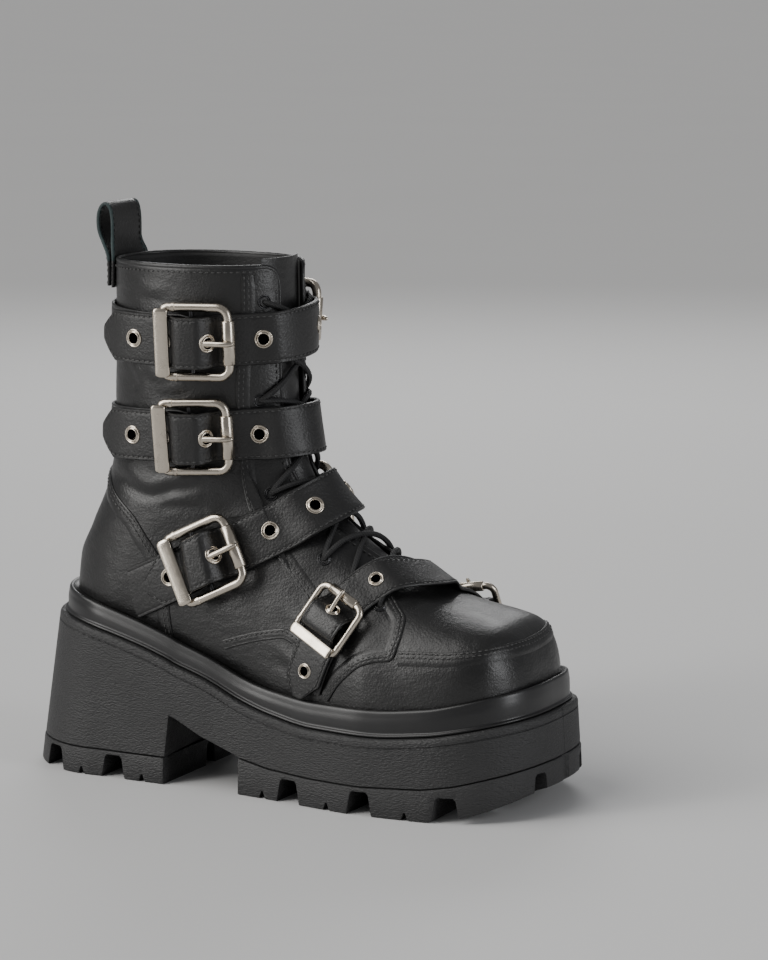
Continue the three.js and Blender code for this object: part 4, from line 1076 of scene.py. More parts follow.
CREASES = (
    Crease((
        (42, -24, 153), (52, -31, 151), (61, -34, 147), (71, -35, 145.5), (83, -34.5, 149), (98, -32.5, 151.5)
    ), 1.5, 3.0, 1.0),
    Crease(((73, -35, 140), (86, -34, 141), (100, -32, 141)), 0.9, 2.4, 0.7),
    Crease(((70, -35, 157), (84, -34, 158), (98, -33, 160)), 0.6, 2.4, 0.5),
    Crease(((63, -37, 208), (74, -39, 203), (86, -39, 204)), 0.7, 2.4, 0.6),
    Crease(((68, -38, 199), (80, -39, 197), (94, -39, 200)), 0.6, 2.2, 0.5),
    Crease(((50, -35, 214), (57, -37, 205), (60, -37, 198)), 0.6, 2.6, 0.5),
    Crease(((60, -37, 249), (72, -39, 246), (84, -39, 247)), 0.5, 2.4, 0.4),
    Crease(((96, -37, 128), (106, -37, 123), (114, -37, 114)), 0.6, 2.8, 0.5),
    Crease(((92, -38, 96), (104, -38, 99), (118, -38, 97)), 0.5, 3.0, 0.4),
    Crease(((66, 36, 166), (84, 36, 160), (104, 35, 161)), 0.9, 3.4, 0.6),
    Crease(((78, 36, 176), (96, 36, 171), (112, 34, 174)), 0.6, 2.6, 0.4),
    Crease(((150, -44, 78), (160, -46, 74), (172, -47, 74)), 0.8, 3.0, 0.6),
    Crease(((146, -43, 90), (157, -44, 84), (170, -45, 83)), 0.6, 2.6, 0.5),
    Crease(((140, -42, 70), (152, -45, 64), (165, -47, 62)), 0.5, 3.0, 0.4),
    Crease(((150, 34, 84), (164, 37, 78), (178, 41, 78)), 0.7, 3.0, 0.5),
    Crease(((200, -30, 92), (210, -20, 98), (216, -6, 101)), 0.4, 3.2, 0.3),
    Crease(((44, -33, 205), (58, -36, 201), (70, -38, 203)), 0.5, 3.2, 0.4),
    Crease(((46, 33, 205), (60, 36, 200), (74, 37, 203)), 0.5, 3.2, 0.4),
)


LAP = (  # how far behind a seam's line, and how high over the leather
    (-0.25, -0.6), (0.0, 0.2), (0.12, 0.62), (0.5, 0.86), (1.1, 0.95), (1.6, 0.72), (2.1, 0.95), (3.2, 0.95),
    (3.9, 0.7), (4.5, 0.88), (6.5, 0.45), (8.5, -0.35),
)


def mirrored(seam: Seam, start: int = 0, end: int | None = None, widen: float = 0.0) -> Seam:
    """The same seam, or a part of it, on the inner side of the boot."""
    line = tuple((x, widen - y, z) for x, y, z in seam.line[start:end])
    return Seam(line, -seam.lap, seam.rows, seam.high, seam.wide)


FACING = Seam((
    (120.5, -30.5, 259.6), (120.3, -30.5, 240), (117.5, -30.3, 215), (116.3, -29.6, 197), (116.3, -28, 178),
    (117.6, -27, 158), (122, -27.5, 142), (130.4, -28.9, 129.3), (141.9, -30.8, 117), (149.5, -32.2, 109.3),
    (158, -34.3, 101), (170, -38, 90),
), 1, (1.4, 3.6), 0.6, 8.0)
INNER_FACING = Seam((
    *mirrored(FACING, 0, 8).line, (141.9, 28.5, 118), (153, 27.5, 108), (166, 27, 100), (180, 28, 94), (192, 29, 91),
), -1, FACING.rows, FACING.high, FACING.wide)
COUNTER = Seam((
    (28.5, 0, 156.5), (31, -12, 156), (38, -23, 151), (49.2, -31.3, 142.2), (59.6, -34.9, 134.3), (67.4, -35.8, 124.6),
    (74.1, -35.9, 115.9), (78.2, -36.3, 108.2), (80.1, -36.7, 98.1), (81.3, -36.9, 87.9), (82.5, -37, 72),
), -1, (1.4, 3.6), 0.7, 9.0)
QUARTER = Seam((
    (196, -20, 106), (204.8, -25.4, 100.3), (211.2, -30.2, 95), (212.9, -36.3, 89), (212.5, -41, 82.6),
    (210.5, -44.2, 76.2), (202, -45.2, 74.3), (193.9, -46.1, 71.4), (187.9, -46.3, 66.6), (181.6, -45.8, 60.3),
    (176, -45, 52),
), -1, (1.4, 3.4), 0.9, 8.0)
APRON = Seam((
    (213.5, -42, 80.6), (227.6, -40.7, 81.3), (238.7, -39.3, 81.8), (252.1, -34.5, 83.4), (260.4, -23.7, 84.4),
    (264.4, -8, 84.9), (264.9, 4, 85.1), (264.0, 15, 85.2), (259.5, 28, 84.6), (251, 37.5, 83.6), (240, 43, 82.4),
    (227, 45, 81.6), (213.5, 45, 80.9),
), -1, (1.3, 3.3), 0.75, 8.5)
SIDE_LINE = Seam((
    (112, -38, 75.5), (124.6, -37.8, 79.8), (138.7, -37.9, 83.4), (150, -38.3, 84.3), (163, -41, 77), (172, -44, 66),
), -1, (1.5,), 0.5, 6.0)
BACK = Seam(((36.4, 4.5, 246), (34.5, 4.5, 200), (30.5, 4.5, 160)), 1, (1.4,), 0.5, 5.0)
BACK_TOO = Seam(((36.4, -4.5, 246), (34.5, -4.5, 200), (30.5, -4.5, 160)), -1, (1.4,), 0.5, 5.0)
SEAMS = (
    FACING, INNER_FACING, COUNTER, mirrored(COUNTER, 0, 5), mirrored(COUNTER, 7),
    QUARTER, mirrored(QUARTER, 0, None, 4), APRON, SIDE_LINE, BACK, BACK_TOO,
)


@dataclass
class Upper:
    """The leather upper: shell, lapped panels, tongue, insole and collar."""

    finishes: Finishes
    last: Last
    sole: Sole
    rows: int = 210
    columns: int = 168

    def edge_angles(self, u: np.ndarray) -> tuple[np.ndarray, np.ndarray]:
        """The two edges of the throat as angles, meeting in front of its rounded foot."""
        half = self.last.throat_half(u) * np.sqrt(np.clip((u - THROAT_U) / 0.5, 0, 1))
        inner = self.last.angle_across(u, np.maximum(half, 1e-4))
        outer = self.last.angle_across(u, -np.maximum(half, 1e-4))
        return inner, 2 * np.pi + outer

    def row(self, u: float, count: int) -> np.ndarray:
        """One even row round the upper, as angles, from the inner throat edge round the back."""
        start, end = (float(v) for v in self.edge_angles(np.array(u)))
        dense = np.linspace(start, end, 900)
        line = self.last.point(u, dense)
        length = np.concatenate([[0], np.cumsum(np.linalg.norm(np.diff(line, axis=0), axis=1))])
        return np.interp(np.linspace(0, length[-1], count), length, dense)

    def collar_u(self, angles: np.ndarray, height: np.ndarray) -> np.ndarray:
        """The section position where each angle reaches the collar's height."""
        low, high = np.full_like(angles, 20.0), np.full_like(angles, 23.5)
        for _ in range(24):
            middle = (low + high) / 2
            over = self.last.point(middle, angles)[..., 2] > height
            high, low = np.where(over, middle, high), np.where(over, low, middle)
        return (low + high) / 2

    def shell_angles(self) -> tuple[np.ndarray, np.ndarray]:
        """Section positions and angles of every vertex of the shell."""
        lower = np.concatenate([
            np.linspace(0, 2, 18, endpoint=False), np.linspace(2, 7.4, 52, endpoint=False),
            np.linspace(7.4, 8.2, 14, endpoint=False), np.linspace(8.2, 20.5, 110),
        ])
        angles = np.array([self.row(u, self.columns) for u in lower])
        u = np.repeat(lower[:, None], self.columns, axis=1)
        last = self.row(22.6, self.columns)
        place = self.last.point(22.6, last)
        inward = np.minimum(np.arange(self.columns), np.arange(self.columns)[::-1])
        from_edge = inward * np.linalg.norm(place[1] - place[0])
        height = COLLAR_Z - 8.5 * (1 - np.sqrt(1 - (1 - np.clip(from_edge / 9, 0, 1)) ** 2))
        ending = self.collar_u(last, height)
        rest = np.linspace(0, 1, 26)[1:, None]
        u = np.vstack([u, 20.5 + (ending - 20.5)[None] * rest])
        ease = rest * rest * (3 - 2 * rest)
        angles = np.vstack([angles, angles[-1] * (1 - ease) + last * ease])
        return u, angles

    def relief(self, points: np.ndarray) -> np.ndarray:
        """How far the worn leather stands off its form at each place."""
        flat = points.reshape(-1, 3)
        total = np.zeros(len(flat))
        for crease in CREASES:
            line, _ = self.last.snap(curve_through(crease.line, 2.0))
            reach = crease.width * 5
            near = np.all((flat > line.min(0) - reach) & (flat < line.max(0) + reach), axis=1)
            if not near.any():
                continue
            gaps = np.linalg.norm(flat[near][:, None] - line[None], axis=2)
            closest = gaps.argmin(axis=1)
            gap = gaps[np.arange(len(gaps)), closest]
            fade = np.sin(np.pi * np.clip((closest + 0.5) / len(line), 0.02, 0.98)) ** 0.7
            above = flat[near][:, 2] - line[closest][:, 2]
            trough = np.exp(-((gap / crease.width) ** 2))
            beside = np.exp(-(((gap - 2.2 * crease.width) / (1.3 * crease.width)) ** 2)) * (above > 0)
            total[near] += fade * (crease.ridge * beside * smoothstep(above, 0, crease.width) - crease.depth * trough)
        swell = 0.35 * np.sin(flat[:, 2] / 9.0 + np.sin(flat[:, 0] / 17.0) * 2) * np.sin(flat[:, 0] / 13.0 + 1.3)
        calm = smoothstep(flat[:, 0], 262, 205) * smoothstep(flat[:, 2], 262, 235)
        total += swell * calm
        return total.reshape(points.shape[:-1])

    def build_shell(self) -> None:
        """The shell, its wall lined."""
        u, angles = self.shell_angles()
        rest = self.last.point(u, angles)
        grid = self.last.off(u, angles, self.relief(rest) - 0.05)
        nose = grid[0].mean(axis=0)
        nose_rings = ((0.05, 1.0), (0.4, 0.95), (0.75, 0.6))  # size and forward push of each
        front = [nose + (grid[0] - nose) * size + np.array([push, 0, 0]) for size, push in nose_rings]
        grid = np.concatenate([np.stack(front), grid])
        work = Workpiece("upper_leather")
        work.sheet(grid)
        bmesh.ops.remove_doubles(work.bm, verts=work.bm.verts[:], dist=POLE_WELD)
        zero = Vector(metres(np.zeros(3)))
        doomed = []
        for face in work.bm.faces:
            spots = np.array([(v.co - zero) / MILLIMETRE for v in face.verts])
            if np.all(spots[:, 2] < self.sole.top(spots[:, 0]) - 1.2):
                doomed.append(face)
        bmesh.ops.delete(work.bm, geom=doomed, context="FACES")
        thing = work.made([self.finishes.upper, self.finishes.lining])
        inward_check(thing)
        wall = thing.modifiers.new("wall", "SOLIDIFY")
        wall.thickness, wall.offset, wall.material_offset, wall.use_even_offset = WALL * MILLIMETRE, -1.0, 1, False
        finished(thing, "leather_upper", "upper")

    def rolled_edges(self) -> None:
        """The turned leather edges of collar and throat."""
        u, angles = self.shell_angles()
        sunk, foot = -1.05, 80  # depth of the roll's middle, and the row where the throat starts
        top = self.last.off(u[-1], angles[-1], sunk)
        top[:, 2] += 0.1
        inner, outer = (self.last.off(u[foot:, edge], angles[foot:, edge], sunk) for edge in (0, -1))
        work = Workpiece("collar_roll")
        line = np.vstack([inner, top[1:-1], outer[::-1]])
        work.wire(spaced(line, 1.6), 1.28, 10)
        finished(work.made([self.finishes.upper]), "leather_upper")

    def build_seam(self, work: Workpiece, thread: Workpiece, seam: Seam) -> None:
        """Adds one lapped edge and its stitches.

        Args:
            work: The piece that takes the leather.
            thread: The piece that takes the stitches.
            seam: The seam.
        """
        line, out = self.last.snap(curve_through(seam.line, 1.5))
        ahead = unit(np.gradient(line, axis=0))
        side = unit(np.cross(out, ahead)) * seam.lap

        def lay(across: float, high: float) -> np.ndarray:
            """A line beside the seam, at a height over the leather."""
            spots, ways = self.last.snap(line + side * across)
            return spots + ways * (high + self.relief(spots)[..., None])

        scale = seam.high / 0.95
        rows = [lay(a * seam.wide / 8.5 if a > 4.5 else a, h * scale if h > 0 else h) for a, h in LAP]
        work.close(work.sheet(np.stack(rows, axis=1)))
        for across in seam.rows:
            spots, ways = self.last.snap(line + side * across)
            high = seam.high * 0.86 + self.relief(spots)[..., None]
            thread.stitches(spots + ways * high, ways)

    def build_seams(self) -> None:
        """The lapped panel edges with their thread."""
        work, thread = Workpiece("panel_edges"), Workpiece("upper_stitching")
        for seam in SEAMS:
            self.build_seam(work, thread, seam)
        self.collar_stitches(thread)
        finished(work.made([self.finishes.upper]), "leather_upper")
        finished(thread.made([self.finishes.thread]), "lace")

    def collar_stitches(self, thread: Workpiece) -> None:
        """Stitches under the collar's edge and beside the throat."""
        u, angles = self.shell_angles()

        def sew(at: np.ndarray, turn: np.ndarray) -> None:
            """Stitches along a line of the form."""
            line, over = (self.last.off(at, turn, out) for out in (0.12, 1.2))
            thread.stitches(line, unit(over - line))

        sew(u[-1, 4:-4] - 2.9 / 23, angles[-1, 4:-4])
        for column, way in ((0, 1), (-1, -1)):
            sew(u[86:-3, column], angles[86:-3, column] + way * 2.6 / 38)

    def build_tongue(self) -> None:
        """The tongue, softly padded towards its top edge."""
        rows = np.concatenate([np.linspace(6.6, 22.6, 90), [22.8, 22.95, 23.05]])
        share = np.linspace(-1, 1, 33)
        half = 24 - 3 * smoothstep(rows, 19, 23)
        angle = self.last.angle_across(rows[:, None], share[None] * half[:, None] + 1e-6)
        edge = 1 - np.abs(share[None]) ** 6
        thick = 3.0 * (0.35 + 0.65 * edge) * (1 - 0.6 * smoothstep(rows, 22.5, 23.05))[:, None]
        outer = self.last.off(rows[:, None], angle, -(WALL + 1) - 0.25)
        inner = self.last.off(rows[:, None], angle, -(WALL + 1) - thick)
        ring = np.concatenate([outer, inner[:, ::-1]], axis=1)
        work = Workpiece("tongue_leather")
        work.close(work.sheet(ring, around=True))
        finished(work.made([self.finishes.upper]), "leather_upper", "tongue")

    def build_insole(self) -> None:
        """The padded insole in the foot."""
        x = np.linspace(14, 267, 90)
        share = np.linspace(-1, 1, 31)
        lines = []
        for place in x:
            height = float(self.sole.top(place)) + 5.0
            sides = []
            for side in Side:
                start = np.array([place, side.value * 200.0, height])
                hit = self.last.meet(start, np.array([place, 1.5, height]))
                sides.append(hit[1] - side.value * (WALL + 0.7))
            lines.append(sides)
        outer, inner = np.array(lines).T
        middle, half = (outer + inner) / 2, np.maximum((inner - outer) / 2, 1.0)
        crown = 0.35 * (1 - share**2)[None] - 1.4 * (np.abs(share) ** 10)[None]
        top = np.stack(np.broadcast_arrays(
            x[:, None], middle[:, None] + share[None] * half[:, None],
            self.sole.top(x)[:, None] + 5.0 + crown), axis=-1)
        base = top.copy()
        base[..., 2] = self.sole.top(x)[:, None] + 0.35
        ring = np.concatenate([top, base[:, ::-1]], axis=1)
        work = Workpiece("insole_pad")
        work.close(work.sheet(ring, around=True))
        finished(work.made([self.finishes.lining]), "lining", "insole")

    def build(self) -> None:
        """All of the upper."""
        self.build_shell()
        self.rolled_edges()
        self.build_seams()
        self.build_tongue()
        self.build_insole()


def inward_check(thing: bpy.types.Object) -> None:
    """Turns an open shell's faces outwards where they look at its middle line."""
    mesh = thing.data
    centre = Vector(metres(np.array([90.0, 0.0, 215.0])))
    votes = 0
    for face in mesh.polygons:
        if face.center.z > SHAFT_Z * MILLIMETRE:
            away = face.center - centre
            away.z = 0
            votes += 1 if face.normal.dot(away) > 0 else -1
    if votes < 0:
        mesh.flip_normals()


# ---------------------------------------------------------------- straps and buckles


LANES = (-1.0, -0.965, -0.91, -0.87, -0.83, -0.74, -0.5, -0.25, 0.0, 0.25, 0.5, 0.74, 0.83, 0.87, 0.91, 0.965, 1.0)
EYELET = (  # radius and height of each ring of an eyelet's lip
    (4.25, -0.6), (4.3, 0.05), (4.18, 0.38), (3.9, 0.55), (3.62, 0.45), (3.42, 0.28), (3.22, 0.42), (3.05, 0.78),
    (2.8, 0.92), (2.58, 0.78), (2.46, 0.4), (2.46, -0.6),
)


@dataclass(frozen=True)
class Fastening:
    """One buckled end of a strap, measured along it from the front ridge."""

    q: float
    tip: float
    anchor: float
    lift: float
    holes: tuple[float, ...]
    stand: float = 0.0

    @property
    def way(self) -> int:
        """Direction from the buckle to the strap's tip."""
        return 1 if self.q > 0 else -1


@dataclass(frozen=True)
class Course:
    """Where a strap runs and what it is made of."""

    name: str
    ridge: tuple[float, float, float]
    normal: tuple[float, float, float]
    inner_normal: tuple[float, float, float]
    ahead: tuple[float, float, float]
    depth: float
    width: float
    leather: float
    size: float
    bridge_outer: tuple[float, float]
    bridge_inner: tuple[float, float]
    outer: Fastening
    inner: Fastening | None
    sewn: float = 0.0
    bridge: float = 4.4


COURSES = (
    Course(
        "upper_ankle", (145, 0, 230), (0, -0.09, 1), (0, -0.09, 1), (1, 0, 0), 60, 26, 2.2, 1, (17, 30), (17, 30),
        Fastening(56, 54, 156, 0, (-33, -15, 6, 31), 3.0), Fastening(-44, 27, -78, 0, (-15, 6, 31)), 0.0, 3.8,
    ),
    Course(
        "lower_ankle", (145, 0, 180.4), (-0.04, 0, 1), (-0.04, 0, 1), (1, 0, 0), 60, 26, 2.2, 1, (17, 30), (17, 30),
        Fastening(58.5, 54, 156, 0, (-33, -15, 6, 31), 3.0), None, -60, 3.7,
    ),
    Course(
        "instep", (160.8, -2.7, 146.9), (-0.424, -0.127, 0.895), (-0.424, -0.127, 0.895), (1, 0, 0), 45, 26, 2.2, 1,
        (18, 32), (17, 30), Fastening(72, 38, 122, 2, (-23, 6, 35, 58)), Fastening(-42, 38, -94, 1.6, (-28, 6, 30)),
    ),
    Course(
        "toe", (206, -4, 118), (-0.815, 0.509, 0.277), (-0.985, 0.17, 0), (0, 0, 1), 55, 21.4, 1.5, 0.78,
        (16, 32), (15, 24), Fastening(52, 42, 90, 1.3, (-28, 4.5, 28)), Fastening(-54, 28, -75, 2.4, (-25, 4.5)),
    ),
)


class StrapLine:
    """The line that a strap takes round the upper."""

    def __init__(self, course: Course, last: Last) -> None:
        """Finds the line by rays from outside, all the way round."""
        self.course, self.last = course, last
        self.normal = unit(np.array(course.normal, dtype=float))
        self.inner_normal = unit(np.array(course.inner_normal, dtype=float))
        self.ridge = np.array(course.ridge, dtype=float)
        self.ahead = np.array(course.ahead, dtype=float)
        self.core = self.ridge - self.ahead * course.depth
        self.half = course.width / 2
        self.turns = np.linspace(-170, 236, 407)
        line = np.array([self.hit(turn, 0.0) for turn in self.turns])
        q = np.concatenate([[0], np.cumsum(np.linalg.norm(np.diff(line, axis=0), axis=1))])
        self.q = q - np.interp(0, self.turns, q)

    def hit(self, turn: float, off: float) -> np.ndarray:
        """Where the face is met at a turn from the front, off the middle of the strap."""
        angle = math.radians(turn)
        normal = unit(self.inner_normal + (self.normal - self.inner_normal) * float(smoothstep(turn, -30, 30)))
        ahead = unit(self.ahead - normal * np.dot(self.ahead, normal))
        outer = np.cross(ahead, normal)
        outer = -outer if outer[1] > 0 else outer
        way = ahead * math.cos(angle) + outer * math.sin(angle)
        base = self.ridge - ahead * self.course.depth + normal * off
        return self.last.meet(base + way * 300, base)

    def turn_at(self, q: float) -> float:
        """The turn at a length along the line."""
        return float(np.interp(q, self.q, self.turns))

    def frame(self, q: float) -> tuple[np.ndarray, np.ndarray, np.ndarray, float]:
        """Place on the face, directions along and out, and the share that keeps the width."""
        before, after = self.hit(self.turn_at(q - 5), 0), self.hit(self.turn_at(q + 5), 0)
        turn = self.turn_at(q)
        low, high = self.hit(turn, -self.half), self.hit(turn, self.half)
        along = unit(after - before)
        out = unit(np.cross(along, high - low))
        origin = self.hit(turn, 0)
        if np.dot(out, origin - self.core) < 0:
            out = -out
        return origin, along, out, 2 * self.half / float(np.linalg.norm(high - low))

    def hump(self, q: float) -> float:
        """Height at which the strap bridges the laces."""
        flat, end = self.course.bridge_outer if q > 0 else self.course.bridge_inner
        return self.course.bridge * (1 - float(smoothstep(abs(q), flat, end)))

    def row(self, q: float, shares: np.ndarray) -> tuple[np.ndarray, np.ndarray]:
        """Places on the face across the strap, and the way out."""
        _, _, out, fit = self.frame(q)
        turn = self.turn_at(q)
        spots = np.array([self.hit(turn, k * fit * self.half) for k in shares])
        return spots, out


@dataclass
class Strap:
    """One strap with its buckles, short holding straps, eyelets and stitches."""

    finishes: Finishes
    last: Last
    course: Course
    frame_long: float = 34.0
    frame_wide: float = 35.0
    wire: float = 2.1
    rise: float = 5.6
    bar: float = 1.5
    bar_at: float = -2.0
    roller: float = 3.0
    prong: float = 1.3
    turn: float = 3.5
    clear: float = 0.8
    tip_length: float = 9.0
    corner: float = 5.5
    inset: float = 1.75  # from the strap's edge to its stitches
    small_eyelet: float = 0.92
    large_eyelet: float = 1.1
    line: StrapLine = field(init=False)

    def __post_init__(self) -> None:
        """Finds the strap's line round the boot."""
        self.line = StrapLine(self.course, self.last)

    @property
    def fastenings(self) -> list[tuple[str, Fastening]]:
        """The strap's buckled ends with their side's word."""
        sides = [("outer", self.course.outer)]
        return sides + ([("inner", self.course.inner)] if self.course.inner else [])

    @property
    def ends(self) -> tuple[float, float]:
        """The strap's two ends along its line."""
        course = self.course
        start = course.inner.q - course.inner.tip if course.inner else course.sewn
        return start, course.outer.q + course.outer.tip

    def height(self, q: float) -> float:
        """Height of the strap's underside over the face."""
        size, leather = self.course.size, self.course.leather
        best = 0.0
        for _, side in self.fastenings:
            over = size * (self.rise + self.turn) + 1 + side.lift
            low = self.clear + leather + 0.4
            table = Table([
                (-90, low + side.stand), (-side.tip, low + side.stand), (-22 * size, low), (-16 * size, low),
                (-6.5 * size, over), (1.5 * size, over), (11.5 * size, self.clear), (90, self.clear),
            ])
            best = max(best, float(table.smooth((side.q - q) * side.way)[0]))
        return best + self.line.hump(q)

    def share(self, q: float) -> float:
        """Share of the strap's width left at its pointed tips."""
        start, end = self.ends
        left = min(end - q, q - start if self.course.inner else math.inf)
        return 0.3 + 0.7 * min(1.0, max(0.0, left) / self.tip_length)

    def band(self, work: Workpiece, rows: Sequence[tuple[np.ndarray, np.ndarray]], thick: float) -> None:
        """Adds a leather band with rounded edges and a stitch channel along each.

        Args:
            work: The piece that it is added to.
            rows: For each row its underside places and the way out.
            thick: Leather thickness.
        """
        crown = np.array([self.top_height(k, thick) for k in LANES])
        rings = []
        for spots, out in rows:
            top = spots + out * crown[:, None]
            edges = spots[[-1, 0]] + out * thick * 0.3
            rings.append(np.vstack([top, edges[:1], spots[1:-1][::-1], edges[1:]]))
        work.close(work.sheet(np.array(rings), around=True))

    @staticmethod
    def top_height(share: float, thick: float) -> float:
        """Height of a band's top over its underside, across its width."""
        k = abs(share)
        if k > 0.99:
            return thick * 0.72
        if k > 0.93:
            return thick
        channel = 0.22 * math.exp(-(((k - 0.87) / 0.03) ** 2))
        return thick + 0.05 + 0.22 * (1 - k**3) - channel

    def spot(self, q: float, across: float, over: float) -> tuple[np.ndarray, np.ndarray, np.ndarray]:
        """A place over the strap's face: its place, the way out and the way along."""
        _, along, out, fit = self.line.frame(q)
        place = self.line.hit(self.line.turn_at(q), across * fit)
        return place + out * (self.height(q) + self.course.leather + over), out, along

    def face(self, q: float) -> tuple[np.ndarray, np.ndarray, np.ndarray]:
        """The strap's own outer face at a length: a place on it, the way out and the way along."""
        before, after = self.spot(q - 3.2, 0, 0.27)[0], self.spot(q + 3.2, 0, 0.27)[0]
        _, away, _ = self.spot(q, 0, 0)
        along = unit(after - before)
        out = unit(away - along * np.dot(away, along))
        middle = (before + after) / 2
        here = self.spot(q, 0, 0.27)[0]
        return here + out * max(0.0, float(np.dot(middle - here, out))), out, along

    def build_band(self) -> None:
        """The long strap, its stitches and its eyelets."""
        start, end = self.ends
        marks = {start, end, start + self.tip_length, end - self.tip_length}
        lengths = sorted(marks | set(np.arange(start + 0.6, end - 0.3, 1.5)))
        rows = []
        for q in lengths:
            spots, out = self.line.row(q, np.array(LANES) * self.share(q))
            rows.append((spots + out * self.height(q), out))
        work = Workpiece(f"strap_{self.course.name}_leather")
        self.band(work, rows, self.course.leather)
        finished(work.made([self.finishes.strap]), "leather_strap", f"strap_{self.course.name}")
        self.build_stitches()
        self.build_eyelets()

    def build_stitches(self) -> None:
        """The stitches that run round inside the strap's edge."""
        start, end = self.ends
        thread = Workpiece(f"strap_{self.course.name}_stitching")
        for sign in (-1, 1):
            places = []
            for q in np.arange(start + 2, end - 1.8, 1.4):
                across = sign * max(self.share(q) * self.line.half - self.inset, 0.5)
                places.append(self.spot(q, across, 0.0)[:2])
            line, out = (np.array(v) for v in zip(*places))
            thread.stitches(line, out)
        for q in (end - 2.0, start + 2.0):
            across = np.linspace(-1, 1, 5) * (self.share(q) * self.line.half - self.inset)
            places = [self.spot(q, float(a), 0.0)[:2] for a in across]
            line, out = (np.array(v) for v in zip(*places))
            thread.stitches(line, out, pitch=2.6, long=1.9)
        finished(thread.made([self.finishes.thread]), "lace")

    def build_eyelets(self) -> None:
        """Nickel rings on the strap, each over a dark disc of painted shade where its hole would show."""
        scale = self.small_eyelet if self.course.size < 1 else self.large_eyelet
        work = Workpiece(f"strap_{self.course.name}_eyelets")
        painted_hole_shade = Workpiece(f"strap_{self.course.name}_painted_hole_shades")
        for _, side in self.fastenings:
            for at in side.holes:
                q = side.q - side.way * at
                place, out, along = self.face(q)
                matrix = basis(along, np.cross(out, along), out, place)
                work.turned([(r * scale, h) for r, h in EYELET], matrix, 28)
                # a flat dark disc of painted shade in place of the shadowed hole
                painted_hole_shade.turned([(2.55 * scale, -0.5), (2.55 * scale, 0.12), (0.4, 0.1)], matrix, 20)
        finished(work.made([self.finishes.nickel], crisp=METAL_SHARP), "nickel")
        finished(painted_hole_shade.made([self.finishes.painted_hole_shade]), "lining")

    def place_of(self, side: Fastening) -> Matrix:
        """A buckle's place: x towards the strap's front, y across it, z out of the boot."""
        origin, along, out, _ = self.line.frame(side.q)
        size = self.course.size
        x = -along * side.way
        spot = origin + out * (self.line.hump(side.q) + side.lift)
        return basis(x * size, np.cross(out, x) * size, out * size, spot)

    def build_buckle(self, word: str, side: Fastening) -> None:
        """One buckle: wire frame, keeper plate, middle bar, roller and prong."""
        place = self.place_of(side)
        name, size = f"{self.course.name}_{word}", self.course.size
        x, y, z = self.frame_long / 2, self.frame_wide / 2, self.rise
        turns = np.radians(np.linspace(0, 90, 9))
        half = [(-x + 0.2, y - 5), (-x + 0.2, y - 3), (-x + 0.5, y - 1.5), (-x + 1.4, y - 0.4), (-x + 3, y)]
        half += [(-x / 2, y), (0, y), (x / 2, y)]
        half += [(x + self.corner * (math.sin(a) - 1), y + self.corner * (math.cos(a) - 1)) for a in turns]
        path = np.array([(a, -b, z) for a, b in half] + [(a, b, z) for a, b in half[::-1]])
        aside, upward = (np.array(place)[:3, k] for k in (1, 2))
        work = Workpiece(f"buckle_frame_{name}")
        work.wire(moved(path, place), self.wire * 1.1 * size, 16, guide=upward)
        for s in (-1, 1):
            ring = place @ Matrix.Translation((-x + 6.2, s * y, z)) @ Matrix.Rotation(math.pi / 2, 4, "Y")
            wide = self.wire + 0.5
            work.turned([(wide - 0.5, -1.0), (wide, -0.75), (wide, 0.75), (wide - 0.5, 1.0)], ring, 16)
            work.block((4.6, 3.2, 4.2), place @ Matrix.Translation((-x, s * (y - 2.4), z + 1.0)), 0.8)
        cross = place @ Matrix.Translation((self.bar_at, 0, z)) @ Matrix.Rotation(math.pi / 2, 4, "X")
        # the middle bar takes the dark metal as painted shade, for the shadow between strap and frame
        work.turned([(self.bar * 0.8, -y), (self.bar * 0.8, y)], cross, 12, finish=1)
        ends = np.linspace(-1, 1, 41)
        plate = np.array([(-x, e * (y - 0.2), z + 3.3) for e in ends])
        round_off = np.interp(np.abs(ends), [0, 0.9, 0.95, 0.985, 1], [1, 1, 0.97, 0.88, 0.72])
        section = superellipse(3.8 * size, 1.35 * size, 28, 3.4)
        work.sweep(moved(plate, place), section, np.array(place)[:3, 0], round_off)
        metals = [self.finishes.nickel, self.finishes.black_metal_and_bar_shade]
        finished(work.made(metals, crisp=METAL_SHARP), "nickel", f"buckle_{name}")

        tube = Workpiece(f"buckle_roller_{name}")
        reach, outer = y - 6.4, self.roller + 0.35
        shape = [
            (self.wire + 0.35, -reach), (outer - 0.35, -reach), (outer, -reach + 0.35),
            (outer, reach - 0.35), (outer - 0.35, reach), (self.wire + 0.35, reach),
        ]
        tube.turned(shape, place @ Matrix.Translation((x, 0, z)) @ Matrix.Rotation(math.pi / 2, 4, "X"), 24)
        finished(tube.made([self.finishes.nickel], crisp=METAL_SHARP), "nickel", f"roller_{name}")

        pin = Workpiece(f"buckle_prong_{name}")
        top = self.rise + self.roller + self.prong
        knots = [
            (self.bar_at + 0.4, z + 2.2), (self.bar_at + 3, z + 3.0), (self.bar_at + 7, z + 4.1),
            (x - 6, top + 0.5), (x - 2, top + 0.95), (x + 1.2, top + 0.75), (x + 3.0, top + 0.15),
        ]
        line = curve_through([(a, 0, c) for a, c in knots], 0.9)
        taper = np.interp(np.linspace(0, 1, len(line)), [0, 0.55, 0.9, 1], [1.3, 1.25, 1.08, 0.85])
        pin.wire(moved(line, place), self.prong * size, 12, guide=aside, scale=taper)
        loop = np.array([(self.bar_at + c, 0, z + s) for c, s in circle(2.5, 20)])
        pin.sweep(moved(loop, place), superellipse(1.5 * size, 0.75 * size, 10), guide=aside, loop=True)
        finished(pin.made([self.finishes.nickel], crisp=METAL_SHARP), "nickel", f"prong_{name}")

